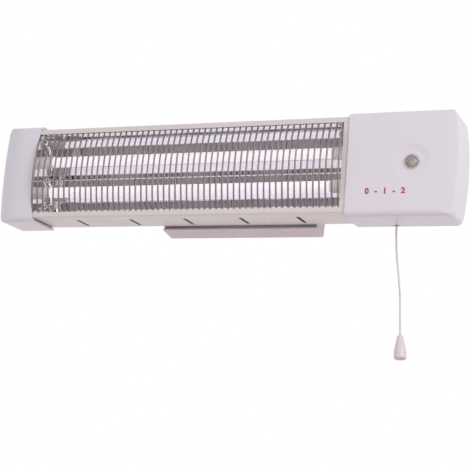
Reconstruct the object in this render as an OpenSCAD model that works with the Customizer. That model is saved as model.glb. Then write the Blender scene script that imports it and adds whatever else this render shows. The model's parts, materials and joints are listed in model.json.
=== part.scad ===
// Wall-mounted quartz heater that tilts on its bracket, with two tubes, a wire guard and a pull cord.
// X runs to the viewer's right, Y into the wall, Z up. The origin is on the wall, midway between the
// bracket's two screw holes. The heater is drawn upright in a frame of its own, whose origin is the
// middle of its front, and is then tipped face down about the pivot bolts.

/* [Overall] */
// Length between the corners of the two ends
heater_length = 525; // [500:1:600]
// Height of the end cap and the control cover
end_height = 111; // [108:1:120]
// Depth of the end cap and the control cover
end_depth = 50; // [46:1:54]
// How far the heater is tipped face down at rest
rest_tilt = 10; // [0:1:15]

/* [Plastic ends] */
// Width of the end cap at its corners
cap_width = 46; // [40:1:56]
// Width of the control cover at its corners
cover_width = 112; // [106:1:124]
// Wall of the cap and the cover
plastic_wall = 2.4; // [1.8:0.1:3]
// How far both ends swell outwards at mid height
end_swell = 5; // [2:0.5:8]
// How far the cap's inner edge is hollowed at mid height
cap_hollow = 6.5; // [0.5:0.5:8]
// Radius of the long front edges of the plastic ends
front_round = 6; // [4:0.5:8]
// Radius of the outer corners of the plastic ends, seen from the front
corner_round = 7; // [5:0.5:9]
// How far the cap's outer corners lie behind its front
cap_fall = 8; // [4:0.5:10]
// How far the cover's outer corners lie behind its front
cover_fall = 2.6; // [1:0.2:5]
// Diameter of the posts that take the screws
post_d = 7; // [6:0.5:9]
// Diameter of the screws that hold the plastic ends
post_screw_d = 3.5; // [3:0.1:4]

/* [Casing] */
// How far the plastic ends stand above and below the casing
casing_rise = 3.75; // [3.6:0.05:5]
// Depth of the steel casing
casing_depth = 50.5; // [50:0.5:60]
// How far the casing's front lies behind the front of the plastic ends
casing_step = 1.5; // [1:0.1:2]
// Thickness of the casing's sheet
sheet = 1; // [0.8:0.1:1.2]
// Height of the front lips above and below the opening
lip_height = 6; // [5:0.5:8]
// Room between the casing's end and the corner of a plastic end
casing_inset = 12.5; // [10:0.5:16]
// Number of vent slots in each long wall
slot_count = 5; // [1:1:5]
// Spacing of the vent slots
slot_pitch = 65.5; // [50:0.5:70]
// Length of a vent slot, front to back
slot_length = 28; // [10:1:30]
// Width of a vent slot
slot_width = 4; // [1.5:0.1:5]
// Visible width of the painted strip beside the control cover
strip_width = 6; // [4:0.5:8]

/* [Heating] */
// Outer diameter of a quartz tube
tube_d = 12; // [10:0.5:13]
// Wall of a quartz tube
tube_wall = 1; // [0.8:0.1:1.5]
// Height between the two tubes' centres
tube_spacing = 36; // [32:0.5:40]
// Depth of the tubes' centres behind the front of the heater
tube_depth = 21.5; // [20:0.5:24]
// Diameter of the wound heating wire
coil_d = 6.4; // [4:0.2:7]
// Diameter of a ceramic tube end
ceramic_d = 14; // [14:0.5:16]
// Length of a ceramic tube end in front of its support
ceramic_length = 16; // [13:0.5:20]
// Diameter of a terminal stud
stud_d = 4; // [3:0.5:5]
// Thickness of the reflector's sheet
mirror_sheet = 0.6; // [0.5:0.1:0.8]

/* [Guard] */
// Diameter of a guard wire
wire_d = 1.9; // [1.5:0.1:2.2]
// Spacing of the guard wires
wire_pitch = 6.84; // [6:0.02:10]
// How far the wires bow forwards
wire_bow = 8.5; // [6:0.5:12]
// Diameter of the two long rails
rail_d = 2.5; // [2:0.1:2.6]

/* [Controls] */
// Distance of the lens from the cover's outer corner line
lens_from_end = 43; // [36:1:50]
// Diameter of the lens flange
lens_d = 16; // [14:0.5:20]
// Diameter of the dished ring round the lens
dish_d = 40; // [24:1:44]
// Distance of the pull cord from the cover's outer corner line
cord_from_end = 68; // [66:0.5:70]
// Depth of the pull cord behind the front of the heater
cord_depth = 45; // [44.5:0.5:46]
// Diameter of the pull cord
cord_d = 2; // [1.6:0.2:2.4]
// Diameter of the cord hole in the cover
cord_hole_d = 6.4; // [6.4:0.1:8]
// Travel of the pull cord
pull_travel = 8; // [4:0.5:8]
// Diameter of the knob at its foot
knob_d = 12.6; // [8:0.2:16]
// Length of the knob
knob_length = 24.5; // [18:0.5:32]

/* [Bracket] */
// Length of the wall bracket
bracket_length = 182; // [160:1:220]
// How far the bracket's middle lies right of the heater's middle
bracket_offset = 12; // [0:1:20]
// Thickness of the bracket's sheet
bracket_sheet = 1.5; // [1.2:0.1:2]
// Height of the bracket's web above the pivot
bracket_top = 26; // [16:1:40]
// Distance between the two wall screws
wall_screw_spacing = 120; // [80:1:130]
// Diameter of the wall screw holes
wall_screw_d = 5.5; // [4:0.5:7]
// Distance of the pivot from the wall
pivot_to_wall = 20.5; // [19:0.5:30]
// Distance of the pivot behind the casing
pivot_standoff = 14; // [13:0.5:20]
// Height of the pivot below the heater's middle
pivot_drop = 15; // [10:1:24]
// Diameter of the pivot bolts
pivot_d = 5; // [4:0.5:6]
// Largest tilt from upright
tilt_limit = 17; // [12:1:18]

/* [Hidden] */
$fn = 48;

// Colours
paint = "#c8c2c2";
plastic = "#d2ccd8";
zinc = "#b4b6ba";
chrome = "#d8dade";
mirror_metal = "#c0c2c6";
quartz = "#e6e4ee";
ceramic = "#efe9dc";
brass = "#c8a24a";
black = "#26262a";

// Play between sheets that lie on each other, and round screws and necks
lay_gap = 0.15;
hole_gap = 0.1;
// Play of a turning or sliding shaft in its hole, all round
run_gap = 0.06;
// Play between faces that pass each other
face_gap = 0.1;
// Length by which a cut runs past the face it opens
past = 1;

// Places along X in the heater's frame
x_left = -heater_length / 2;
x_right = heater_length / 2;
x_cap = x_left + cap_width;
x_cover = x_right - cover_width;
casing_x0 = x_left + casing_inset;
casing_x1 = x_right - casing_inset;
lip_cut = 16;
lip_x0 = casing_x0 + lip_cut;
lip_x1 = casing_x1 - lip_cut;
open_x0 = x_cap - 8;
open_x1 = x_cover - strip_width;
slot_mid = (x_cap + x_cover) / 2 - 4;
strip_depth = 10;

// Places front to back and in height
casing_y0 = casing_step;
casing_y1 = casing_step + casing_depth;
inner_y0 = casing_y0 + sheet;
inner_y1 = casing_y1 - sheet;
casing_z = end_height / 2 - casing_rise;
inner_z = casing_z - sheet;
open_z = casing_z - lip_height;
end_z = end_height / 2;
cover_floor = -end_z + plastic_wall;

// The tilting joint, first in the heater's frame
pivot_y = casing_y1 + pivot_standoff;
pivot_z = -pivot_drop;
// Radius that the casing's lower back edge sweeps about the pivot
sweep_r = sqrt(pow(pivot_standoff, 2) + pow(casing_z - pivot_drop, 2));
sweep_gap = 0.6;
flange_top = -(sweep_r + sweep_gap);
flange_z = flange_top - bracket_sheet;
flange_front = pivot_to_wall + 4;
ear_r = pivot_standoff - 3;
ear_x = bracket_length / 2 - bracket_sheet;
washer_h = 1.2;
washer_d = 11;
tab_sheet = 1.5;
tab_x = ear_x - washer_h - face_gap - tab_sheet;
tab_base = 20;
tab_reach = 8;
tab_half_height = 16;
tab_rivet_x = tab_x - 10;
tab_rivet_rise = 10;
nut_h = 4;
nut_d = 8;
bolt_head_d = 9;
bolt_head_h = 2.6;
rivet_d = 3.2;

// A point of the heater's frame in the part's frame, at rest
function to_row(p) = [
    p[0] - bracket_offset,
    -pivot_to_wall + (p[1] - pivot_y) * cos(rest_tilt) - (p[2] - pivot_z) * sin(rest_tilt),
    (p[1] - pivot_y) * sin(rest_tilt) + (p[2] - pivot_z) * cos(rest_tilt)
];

// Stands its children, drawn in the heater's frame, at their place in the part's frame
module on_heater() {
    translate([-bracket_offset, -pivot_to_wall, 0])
        rotate([rest_tilt, 0, 0])
            translate([0, -pivot_y, -pivot_z]) children();
}

// Turns a profile drawn in Y and Z into a bar from x0 to x1
module bar(x0, x1) {
    translate([x0, 0, 0]) rotate([90, 0, 90]) linear_extrude(x1 - x0) children();
}

// Turns an outline drawn in X and Z into a plate from y0 to y1
module slab(y0, y1) {
    translate([0, y1, 0]) rotate([90, 0, 0]) linear_extrude(y1 - y0) children();
}

// A round rod along X, Y or Z between two values of that axis
module rod_x(d, x0, x1, y, z) {
    translate([x0, y, z]) rotate([0, 90, 0]) cylinder(d = d, h = x1 - x0);
}
module rod_y(d, y0, y1, x, z) {
    translate([x, y1, z]) rotate([90, 0, 0]) cylinder(d = d, h = y1 - y0);
}
module rod_z(d, z0, z1, x, y) {
    translate([x, y, z0]) cylinder(d = d, h = z1 - z0);
}

// A box between two corners
module block(a, b) {
    translate(a) cube(b - a);
}

// A rectangle with round corners between two corners
module round_rect(a, b, r) {
    translate([a[0] + r, a[1]]) square([b[0] - a[0] - 2 * r, b[1] - a[1]]);
    translate([a[0], a[1] + r]) square([b[0] - a[0], b[1] - a[1] - 2 * r]);
    for (x = [a[0] + r, b[0] - r], y = [a[1] + r, b[1] - r]) translate([x, y]) circle(r);
}

// Direction and mitred offset of a bent sheet's line
function unit(v) = v / norm(v);
function left_of(v) = [-v[1], v[0]];
function bend_offset(line, d) = [
    for (i = [0 : len(line) - 1])
        let (before = unit(line[max(i, 1)] - line[max(i, 1) - 1]),
             after = unit(line[min(i + 1, len(line) - 1)] - line[min(i + 1, len(line) - 1) - 1]),
             middle = unit(left_of(before) + left_of(after)))
        line[i] + middle * d / (middle * left_of(after))
];
module bent_sheet(line, thickness) {
    other = bend_offset(line, thickness);
    polygon(concat(line, [for (i = [len(other) - 1 : -1 : 0]) other[i]]));
}

// Wire or lead that follows points, with round bends
module lead(points, d) {
    for (i = [0 : len(points) - 2]) {
        step = points[i + 1] - points[i];
        length = norm(step);
        translate(points[i])
            rotate([0, acos(step[2] / length), atan2(step[1], step[0])])
                cylinder(d = d, h = length, $fn = 24);
    }
    for (i = [1 : len(points) - 2]) translate(points[i]) sphere(d = 1.3 * d, $fn = 24);
}

// Wall bracket: web, bottom flange and two ears
module ear_outline() {
    difference() {
        union() {
            polygon([
                [0, flange_z], [-flange_front, flange_z], [-flange_front, flange_top],
                [-pivot_to_wall - ear_r, 0], [-pivot_to_wall, ear_r], [0, bracket_top]
            ]);
            translate([-pivot_to_wall, 0]) circle(ear_r);
        }
        translate([-pivot_to_wall, 0]) intersection() {
            circle(sweep_r + sweep_gap, $fn = 96);
            rotate(tilt_limit)
                translate([-pivot_standoff + 1 - 2 * sweep_r, -2 * sweep_r])
                    square([2 * sweep_r, 4 * sweep_r]);
        }
        translate([-pivot_to_wall, 0]) circle(d = pivot_d + 2 * run_gap);
    }
}
module wall_bracket() {
    half = bracket_length / 2;
    color(paint) {
        difference() {
            block([-half, -bracket_sheet, flange_z], [half, 0, bracket_top]);
            for (side = [-1, 1])
                rod_y(wall_screw_d, -bracket_sheet - past, past, side * wall_screw_spacing / 2, 0);
        }
        block([-half, -flange_front, flange_z], [half, 0, flange_top]);
        for (x = [-half, ear_x]) bar(x, x + bracket_sheet) ear_outline();
    }
}

// Copies its children, drawn on the right, to both ends of the bracket
module at_both_ears() {
    for (side = [0, 1]) mirror([side, 0, 0]) children();
}

module pivot_bolts() {
    color(zinc) at_both_ears() {
        rod_x(pivot_d, tab_x - nut_h - past, ear_x + bracket_sheet, -pivot_to_wall, 0);
        rod_x(bolt_head_d, ear_x + bracket_sheet, ear_x + bracket_sheet + bolt_head_h,
            -pivot_to_wall, 0);
    }
}

module pivot_nuts() {
    color(zinc) at_both_ears() difference() {
        translate([tab_x - face_gap - nut_h, -pivot_to_wall, 0]) rotate([0, 90, 0])
            cylinder(d = nut_d / cos(30), h = nut_h, $fn = 6);
        rod_x(pivot_d + hole_gap, tab_x - 2 * nut_h, tab_x + past, -pivot_to_wall, 0);
    }
}

module friction_washers() {
    color(black) at_both_ears() difference() {
        rod_x(washer_d, ear_x - washer_h, ear_x, -pivot_to_wall, 0);
        rod_x(pivot_d + 2 * run_gap, ear_x - washer_h - past, ear_x + past, -pivot_to_wall, 0);
    }
}

// Tabs on the casing's back that the pivot bolts pass through
module tilt_tabs() {
    color(zinc) on_heater() for (side = [-1, 1])
        translate([bracket_offset, 0, 0]) mirror([(1 - side) / 2, 0, 0]) {
            difference() {
                block([tab_x - tab_base, casing_y1, pivot_z - tab_half_height],
                    [tab_x + tab_sheet, casing_y1 + tab_sheet, pivot_z + tab_half_height]);
                for (rise = [-tab_rivet_rise, tab_rivet_rise])
                    rod_y(rivet_d + hole_gap, casing_y1 - past, casing_y1 + tab_sheet + past,
                        tab_rivet_x, pivot_z + rise);
            }
            bar(tab_x, tab_x + tab_sheet) difference() {
                union() {
                    polygon([
                        [casing_y1, pivot_z - tab_half_height],
                        [pivot_y, pivot_z - tab_reach],
                        [pivot_y, pivot_z + tab_reach],
                        [casing_y1, pivot_z + tab_half_height]
                    ]);
                    translate([pivot_y, pivot_z]) circle(tab_reach);
                }
                translate([pivot_y, pivot_z]) circle(d = pivot_d + 2 * run_gap);
            }
        }
}

// Blind rivet along Y through the casing's back and a tab
module tab_rivets() {
    head_h = 1;
    color(zinc) on_heater() for (side = [-1, 1], rise = [-tab_rivet_rise, tab_rivet_rise]) {
        x = bracket_offset + side * tab_rivet_x;
        rod_y(rivet_d, inner_y1, casing_y1 + tab_sheet, x, pivot_z + rise);
        rod_y(2 * rivet_d, casing_y1 + tab_sheet, casing_y1 + tab_sheet + head_h, x, pivot_z + rise);
        rod_y(1.5 * rivet_d, inner_y1 - head_h, inner_y1, x, pivot_z + rise);
    }
}

// Places of the holes in the casing that other pieces share
cap_post_x = x_left + 22.5;
cap_post_z = casing_z - 17.75;
cover_post_x = [x_cover + 12, x_right - 22];
cover_post_z = casing_z - 11.75;
cord_x = x_right - cord_from_end;
bush_d = cord_hole_d + 2.6;
gland_x = x_right - 34;
gland_z = -28;
gland_d = 14;
earth_x = x_cover + 16;
earth_z = cover_post_z - 18;
earth_d = 4;
switch_screw_x = 9.5;
switch_height = 30.75;
switch_top = switch_height - inner_z;
switch_screw_z = switch_top - 8;
clamp_z = -4;
clamp_half = 9;
block_screw_d = 3;
end_rivet_y = [16, 38];
end_rivet_x = 6;

module casing_profile() {
    difference() {
        round_rect([casing_y0, -casing_z], [casing_y1, casing_z], 2 * sheet);
        round_rect([inner_y0, -inner_z], [inner_y1, inner_z], sheet);
        translate([casing_y0 - past, -open_z]) square([sheet + past + lay_gap, 2 * open_z]);
    }
}

// One vent slot through a long wall, with round ends
module slot_cut(x) {
    front = casing_y0 + (casing_depth - slot_length) / 2 + 4;
    for (side = [-1, 1]) {
        z = side * (casing_z - sheet / 2) - sheet;
        block([x - slot_width / 2, front + slot_width / 2, z],
            [x + slot_width / 2, front + slot_length - slot_width / 2, z + 2 * sheet]);
        for (y = [front + slot_width / 2, front + slot_length - slot_width / 2])
            rod_z(slot_width, z, z + 2 * sheet, x, y);
    }
}

module casing_shell() {
    back_cut = inner_y1 - past;
    color(paint) on_heater() difference() {
        bar(casing_x0, casing_x1) casing_profile();
        for (x = [casing_x0 - past, lip_x1])
            block([x, casing_y0 - past, -casing_z - past],
                [x + lip_cut + past, casing_y0 + 2 * sheet + 1, casing_z + past]);
        for (i = [0 : slot_count - 1]) slot_cut(slot_mid + (i - (slot_count - 1) / 2) * slot_pitch);
        for (z = [-cap_post_z, cap_post_z])
            rod_y(post_screw_d + hole_gap, back_cut, casing_y1 + past, cap_post_x, z);
        for (x = cover_post_x, z = [-cover_post_z, cover_post_z])
            rod_y(post_screw_d + hole_gap, back_cut, casing_y1 + past, x, z);
        for (side = [-1, 1], rise = [-tab_rivet_rise, tab_rivet_rise])
            rod_y(rivet_d + hole_gap, back_cut, casing_y1 + past,
                bracket_offset + side * tab_rivet_x, pivot_z + rise);
        for (x = [casing_x0 + end_rivet_x, casing_x1 - end_rivet_x], y = end_rivet_y)
            for (z = [-casing_z - past, inner_z - past])
                rod_z(rivet_d + hole_gap, z, z + sheet + 2 * past, x, y);
        rod_y(gland_d + hole_gap, back_cut, casing_y1 + past, gland_x, gland_z);
        rod_y(earth_d + hole_gap, back_cut, casing_y1 + past, earth_x, earth_z);
        for (side = [-1, 1]) {
            rod_y(block_screw_d + hole_gap, back_cut, casing_y1 + past,
                cord_x + side * switch_screw_x, switch_screw_z);
            rod_y(block_screw_d + hole_gap, back_cut, casing_y1 + past,
                gland_x + side * clamp_half, clamp_z);
        }
        rod_z(bush_d + hole_gap, -casing_z - past, -inner_z + past, cord_x, cord_depth);
    }
}

// Upright frame at one end of the opening: a painted strip and a web that carries the tubes
tube_z = tube_spacing / 2;
neck_d = ceramic_d - 4;
lead_hole_z = 1.5;
lead_y = inner_y1 - 5;
lead_hole_d = 7;
web_gap = 0.3;
module side_frame(web_x, strip_from, strip_to) {
    color(paint) on_heater() {
        block([strip_from, casing_y0, -open_z + lay_gap], [strip_to, inner_y0, open_z - lay_gap]);
        difference() {
            block([web_x, casing_y0 + sheet / 2, -open_z + lay_gap],
                [web_x + sheet, inner_y1 - web_gap, open_z - lay_gap]);
            for (z = [-tube_z, tube_z])
                rod_x(neck_d + hole_gap, web_x - past, web_x + sheet + past, tube_depth, z);
            rod_x(lead_hole_d, web_x - past, web_x + sheet + past, lead_y, lead_hole_z);
        }
        block([min(web_x, (strip_from + strip_to) / 2), inner_y1 - web_gap - sheet, -open_z + lay_gap],
            [max(web_x + sheet, (strip_from + strip_to) / 2), inner_y1 - web_gap, -lead_hole_d]);
    }
}
module left_side_frame() {
    side_frame(open_x0 - sheet, open_x0 - strip_depth, open_x0);
}
module right_side_frame() {
    side_frame(open_x1, open_x1, open_x1 + strip_depth + 2);
}

// Plate that closes one end of the casing, with riveted flanges
module end_plate(side) {
    plate = 1.2;
    flange = 14;
    z = inner_z - lay_gap;
    y1 = inner_y1 - lay_gap;
    x_end = side < 0 ? casing_x0 : casing_x1;
    color(zinc) on_heater() translate([x_end, 0, 0]) mirror([side < 0 ? 0 : 1, 0, 0]) {
        block([0, inner_y0 + 3, -z], [plate, y1, z]);
        difference() {
            for (low = [-z, z - plate]) block([0, inner_y0 + 3, low], [flange, y1, low + plate]);
            for (y = end_rivet_y, low = [-z - past, z - plate - past])
                rod_z(rivet_d + hole_gap, low, low + plate + 2 * past, end_rivet_x, y);
        }
    }
}
module left_end_plate() { end_plate(-1); }
module right_end_plate() { end_plate(1); }

module end_plate_rivets() {
    plate = 1.2;
    head_h = 0.9;
    color(zinc) on_heater()
        for (x = [casing_x0 + end_rivet_x, casing_x1 - end_rivet_x], y = end_rivet_y, up = [0, 1])
            mirror([0, 0, up]) {
                inside = -inner_z + lay_gap + plate;
                rod_z(rivet_d, -casing_z, inside, x, y);
                rod_z(2 * rivet_d, -casing_z - head_h, -casing_z, x, y);
                rod_z(1.5 * rivet_d, inside, inside + head_h, x, y);
            }
}

// Reflector: a trough behind each tube, with a ridge between them
rail_y = inner_y0 + face_gap + wire_d + rail_d / 2 - 0.3;
mirror_y = rail_y + rail_d / 2 + 0.4;
trough_y = tube_depth + 22;
ridge_y = tube_depth + 12;
reflector_half = [
    [mirror_y, inner_z - lay_gap],
    [mirror_y, open_z + 0.5],
    [tube_depth - 1.5, open_z - 3.75],
    [tube_depth + 9.5, (open_z + tube_z + 4.25) / 2],
    [tube_depth + 14, tube_z + 12.5],
    [trough_y, tube_z + 5.7],
    [trough_y, tube_z - 10]
];
reflector_line = concat(
    reflector_half,
    [[ridge_y, 0]],
    [for (i = [len(reflector_half) - 1 : -1 : 0]) [reflector_half[i][0], -reflector_half[i][1]]]
);
mirror_x0 = open_x0 + mirror_sheet;
mirror_x1 = open_x1 - mirror_sheet;

module reflector() {
    color(mirror_metal) on_heater()
        bar(mirror_x0 + face_gap, mirror_x1 - face_gap) bent_sheet(reflector_line, mirror_sheet);
}

module end_mirror(x) {
    y0 = rail_y + rail_d / 2 + face_gap;
    color(mirror_metal) on_heater() difference() {
        block([x, y0, -open_z + lay_gap], [x + mirror_sheet, trough_y + mirror_sheet, open_z - lay_gap]);
        for (z = [-tube_z, tube_z])
            rod_x(neck_d + hole_gap, x - past, x + mirror_sheet + past, tube_depth, z);
        rod_x(lead_hole_d, x - past, x + mirror_sheet + past, lead_y, lead_hole_z);
    }
}
module left_end_mirror() { end_mirror(open_x0); }
module right_end_mirror() { end_mirror(mirror_x1); }

// Tubes, their ceramic ends and their terminals
cup_depth = ceramic_length - 8;
tube_x0 = mirror_x0 + ceramic_length - cup_depth;
tube_x1 = mirror_x1 - ceramic_length + cup_depth;
neck_length = 6;
stud_length = 12;
stud_reach = 3;

module quartz_tube(z) {
    color(quartz, 0.7) on_heater() difference() {
        rod_x(tube_d, tube_x0, tube_x1, tube_depth, z);
        rod_x(tube_d - 2 * tube_wall, tube_x0 - past, tube_x1 + past, tube_depth, z);
    }
}
module upper_quartz_tube() { quartz_tube(tube_z); }
module lower_quartz_tube() { quartz_tube(-tube_z); }

// Wound wire, as the sleeve that its turns fill, with straight tails to the studs
module heating_coil(z) {
    tail_d = 1.6;
    color("#8c7f78") on_heater() {
        difference() {
            rod_x(coil_d, tube_x0 + 4, tube_x1 - 4, tube_depth, z);
            rod_x(coil_d - 1.6, tube_x0 + 6, tube_x1 - 6, tube_depth, z);
        }
        rod_x(tail_d, mirror_x0 + stud_reach, tube_x0 + 5, tube_depth, z);
        rod_x(tail_d, tube_x1 - 5, mirror_x1 - stud_reach, tube_depth, z);
    }
}
module upper_heating_coil() { heating_coil(tube_z); }
module lower_heating_coil() { heating_coil(-tube_z); }

// Copies its children, drawn at the left end of a tube on the X axis, to all four tube ends
module at_tube_ends() {
    for (z = [-tube_z, tube_z]) {
        translate([mirror_x0, tube_depth, z]) children();
        translate([mirror_x1, tube_depth, z]) mirror([1, 0, 0]) children();
    }
}

module ceramic_tube_ends() {
    cup_from = ceramic_length - cup_depth;
    color(ceramic) on_heater() at_tube_ends() difference() {
        union() {
            rod_x(ceramic_d, 0, ceramic_length, 0, 0);
            rod_x(neck_d, -neck_length, past, 0, 0);
        }
        rod_x(tube_d + hole_gap, cup_from, ceramic_length + past, 0, 0);
        rod_x(stud_d + hole_gap, -neck_length - past, cup_from + past, 0, 0);
    }
}

module tube_terminals() {
    nut = stud_d * 0.75;
    color(brass) on_heater() at_tube_ends() {
        rod_x(stud_d, -neck_length - stud_length, stud_reach, 0, 0);
        translate([-neck_length - nut, 0, 0]) rotate([0, 90, 0])
            cylinder(d = 2 * stud_d, h = nut, $fn = 6);
        translate([-neck_length - 2.6 * nut, 0, 0]) rotate([0, 90, 0])
            cylinder(d = 2 * stud_d, h = nut, $fn = 6);
    }
}

// Guard: bowed wires welded to two rails that lie behind the lips
wire_y = inner_y0 + face_gap + wire_d / 2;
wire_bend_z = open_z + 0.2;
wire_top_z = inner_z - 1.2;
rail_z = open_z + 1 + rail_d / 2;
bow_r = (pow(wire_bend_z, 2) + pow(wire_bow, 2)) / (2 * wire_bow);
bow_half = asin(wire_bend_z / bow_r);
wire_end_gap = 1.1;
wire_count = 1 + floor((open_x1 - open_x0 - 2 * wire_end_gap) / wire_pitch);

module guard_wire(x) {
    translate([x, wire_y - wire_bow + bow_r, 0]) rotate([90, 0, 90])
        rotate([0, 0, 180 - bow_half])
            rotate_extrude(angle = 2 * bow_half, $fn = 96)
                translate([bow_r, 0]) circle(d = wire_d, $fn = 24);
    for (up = [0, 1]) mirror([0, 0, up])
        rod_z(wire_d, wire_bend_z - 0.3, wire_top_z, x, wire_y);
}
module wire_guard() {
    color(chrome) on_heater() {
        for (i = [0 : wire_count - 1]) guard_wire(open_x1 - wire_end_gap - i * wire_pitch);
        for (z = [-rail_z, rail_z])
            rod_x(rail_d, mirror_x0 + face_gap, mirror_x1 - face_gap, rail_y, z);
    }
}

// Plastic end, seen from the front: a swollen outer edge with round corners. side is -1 at the cap and
// 1 at the cover
module end_front(x_in, x_corner, side, inset) {
    r = (pow(end_z, 2) + pow(end_swell, 2)) / (2 * end_swell);
    swell_x = x_corner + side * (end_swell - r);
    x_out = x_corner + side * (end_swell - inset);
    round_z = end_z - corner_round;
    round_x = swell_x + side * sqrt(pow(r - corner_round, 2) - pow(round_z, 2));
    cut = 0.03;
    difference() {
        intersection() {
            translate([min(x_in, x_out), -end_z + inset])
                square([abs(x_out - x_in), end_height - 2 * inset]);
            translate([swell_x, 0]) circle(r - inset, $fn = 200);
        }
        for (up = [0, 1]) mirror([0, up]) difference() {
            translate([min(round_x, round_x + side * 2 * corner_round), round_z])
                square(2 * corner_round);
            translate([round_x, round_z]) circle(corner_round - inset + cut);
        }
    }
}
// Seen from the side: round front edges
module end_side(inset) {
    reach = 2 * end_depth;
    cut = 0.03;
    intersection() {
        round_rect([inset - cut, -end_z + inset - cut], [reach, end_z - inset + cut],
            front_round - inset / 2);
        translate([inset, -end_z + inset]) square([end_depth, end_height - 2 * inset]);
    }
}
// Seen from above: the outer part of the front falls back
module end_plan(x_in, x_corner, side, fall, fall_width, inset) {
    r = (pow(fall_width, 2) + pow(fall, 2)) / (2 * fall);
    x_turn = x_corner - side * fall_width;
    x_far = x_corner + side * 2 * end_swell;
    intersection() {
        union() {
            translate([min(x_in, x_turn), inset])
                square([abs(x_turn - x_in), end_depth + past]);
            translate([x_turn, r]) circle(r - inset, $fn = 200);
        }
        translate([min(x_in, x_far), 0]) square([abs(x_far - x_in), end_depth + past]);
    }
}
module end_form(x_in, x_corner, side, fall, fall_width, inset) {
    intersection() {
        slab(-past, end_depth + inset) end_front(x_in, x_corner, side, inset);
        bar(min(x_in, x_corner) - 2 * end_swell, max(x_in, x_corner) + 2 * end_swell)
            end_side(inset);
        translate([0, 0, -end_z]) linear_extrude(end_height)
            end_plan(x_in, x_corner, side, fall, fall_width, inset);
    }
}
// The front wall is thinned where it lies over the casing's lips and the side frames
module end_shell(x_in, x_corner, side, fall, fall_width) {
    lip_x = side < 0 ? lip_x0 - 1 : lip_x1 + 1;
    x0 = side < 0 ? lip_x : x_in - past;
    x1 = side < 0 ? x_in + past : lip_x;
    difference() {
        end_form(x_in, x_corner, side, fall, fall_width, 0);
        end_form(x_in - side * past, x_corner, side, fall, fall_width, plastic_wall);
        block([x0, casing_y0 - lay_gap, -casing_z - 2 * lay_gap],
            [x1, plastic_wall + 4, casing_z + 2 * lay_gap]);
    }
}

// Post from a plastic end's front to the casing's back, with a pilot hole for its screw
pilot = 12;
module screw_post(x, z, y0) {
    difference() {
        rod_y(post_d, y0, inner_y1, x, z);
        rod_y(post_screw_d + hole_gap, inner_y1 - pilot, inner_y1 + past, x, z);
    }
}
module post_screw(x, z) {
    head_h = 2.2;
    rod_y(post_screw_d, inner_y1 - pilot + 2, casing_y1, x, z);
    rod_y(2 * post_screw_d, casing_y1, casing_y1 + head_h, x, z);
}

cap_fall_width = 27.5;
cover_fall_width = 22.5;
module left_end_cap() {
    hollow_r = (pow(end_z, 2) + pow(cap_hollow, 2)) / (2 * cap_hollow);
    color(plastic) on_heater() {
        difference() {
            end_shell(x_cap + past, x_left, -1, cap_fall, cap_fall_width);
            slab(-past, end_depth + past)
                translate([x_cap - cap_hollow + hollow_r, 0]) circle(hollow_r, $fn = 200);
        }
        for (z = [-cap_post_z, cap_post_z]) screw_post(cap_post_x, z, casing_y0 - 0.5);
    }
}
module cap_screws() {
    color(zinc) on_heater() for (z = [-cap_post_z, cap_post_z]) post_screw(cap_post_x, z);
}

// Control cover, with the lens seat and the cord hole
lens_x = x_right - lens_from_end;
lens_z = 0.5;
lens_neck_d = lens_d - 4;
dish_depth = 0.8;
dish_slope = 7;
module control_cover() {
    color(plastic) on_heater() {
        difference() {
            end_shell(x_cover, x_right, 1, cover_fall, cover_fall_width);
            translate([lens_x, dish_depth, lens_z]) rotate([90, 0, 0])
                cylinder(d1 = dish_d - 2 * dish_slope, d2 = dish_d + 2 * dish_slope / dish_depth * past,
                    h = dish_depth + past);
            rod_y(lens_neck_d + hole_gap, -past, plastic_wall + past, lens_x, lens_z);
            rod_z(cord_hole_d, -end_z - past, cover_floor + past, cord_x, cord_depth);
        }
        for (x = cover_post_x, z = [-cover_post_z, cover_post_z])
            screw_post(x, z, casing_y0 - 0.5);
    }
}
module cover_screws() {
    color(zinc) on_heater()
        for (x = cover_post_x, z = [-cover_post_z, cover_post_z]) post_screw(x, z);
}

// Clear lens: a dome on a thin flange, with a neck that the lamp holder grips
lens_rise = 3.4;
holder_d = lens_neck_d + 4;
holder_length = 20;
module indicator_lens() {
    flange_h = 0.8;
    dome_base = lens_d - 3;
    dome_r = (pow(dome_base / 2, 2) + pow(lens_rise, 2)) / (2 * lens_rise);
    color("#e8e6ea", 0.6) on_heater() translate([lens_x, 0, lens_z]) {
        rod_y(lens_d, dish_depth - flange_h - 0.1, dish_depth - 0.1, 0, 0);
        difference() {
            rod_y(lens_neck_d, dish_depth - 0.2, plastic_wall + 6, 0, 0);
            rod_y(lens_neck_d - 3, plastic_wall - 0.8, plastic_wall + 7, 0, 0);
        }
        intersection() {
            translate([0, dish_depth - flange_h - 0.1 - lens_rise + dome_r, 0]) sphere(dome_r);
            rod_y(dome_base, -lens_rise - 2, dish_depth - flange_h, 0, 0);
        }
    }
}
module lamp_holder() {
    y0 = plastic_wall + 1;
    color(black) on_heater() translate([lens_x, 0, lens_z]) difference() {
        rod_y(holder_d, y0, y0 + holder_length, 0, 0);
        rod_y(lens_neck_d + hole_gap, y0 - past, y0 + 5, 0, 0);
        rod_y(lens_neck_d - 3, y0, y0 + holder_length - 3, 0, 0);
        for (side = [-1, 1])
            rod_y(1.2, y0 + holder_length - 4, y0 + holder_length + past, side * 1.8, 0);
    }
}
module neon_lamp() {
    bulb_d = 6;
    y0 = plastic_wall + 4;
    foot = plastic_wall + 1 + holder_length;
    color("#e89a5a", 0.6) on_heater() translate([lens_x, 0, lens_z]) {
        rod_y(bulb_d, y0, y0 + 12, 0, 0);
        translate([0, y0, 0]) sphere(d = bulb_d);
        for (side = [-1, 1]) rod_y(1, y0 + 11, foot, side * 1.8, 0);
    }
}

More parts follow.
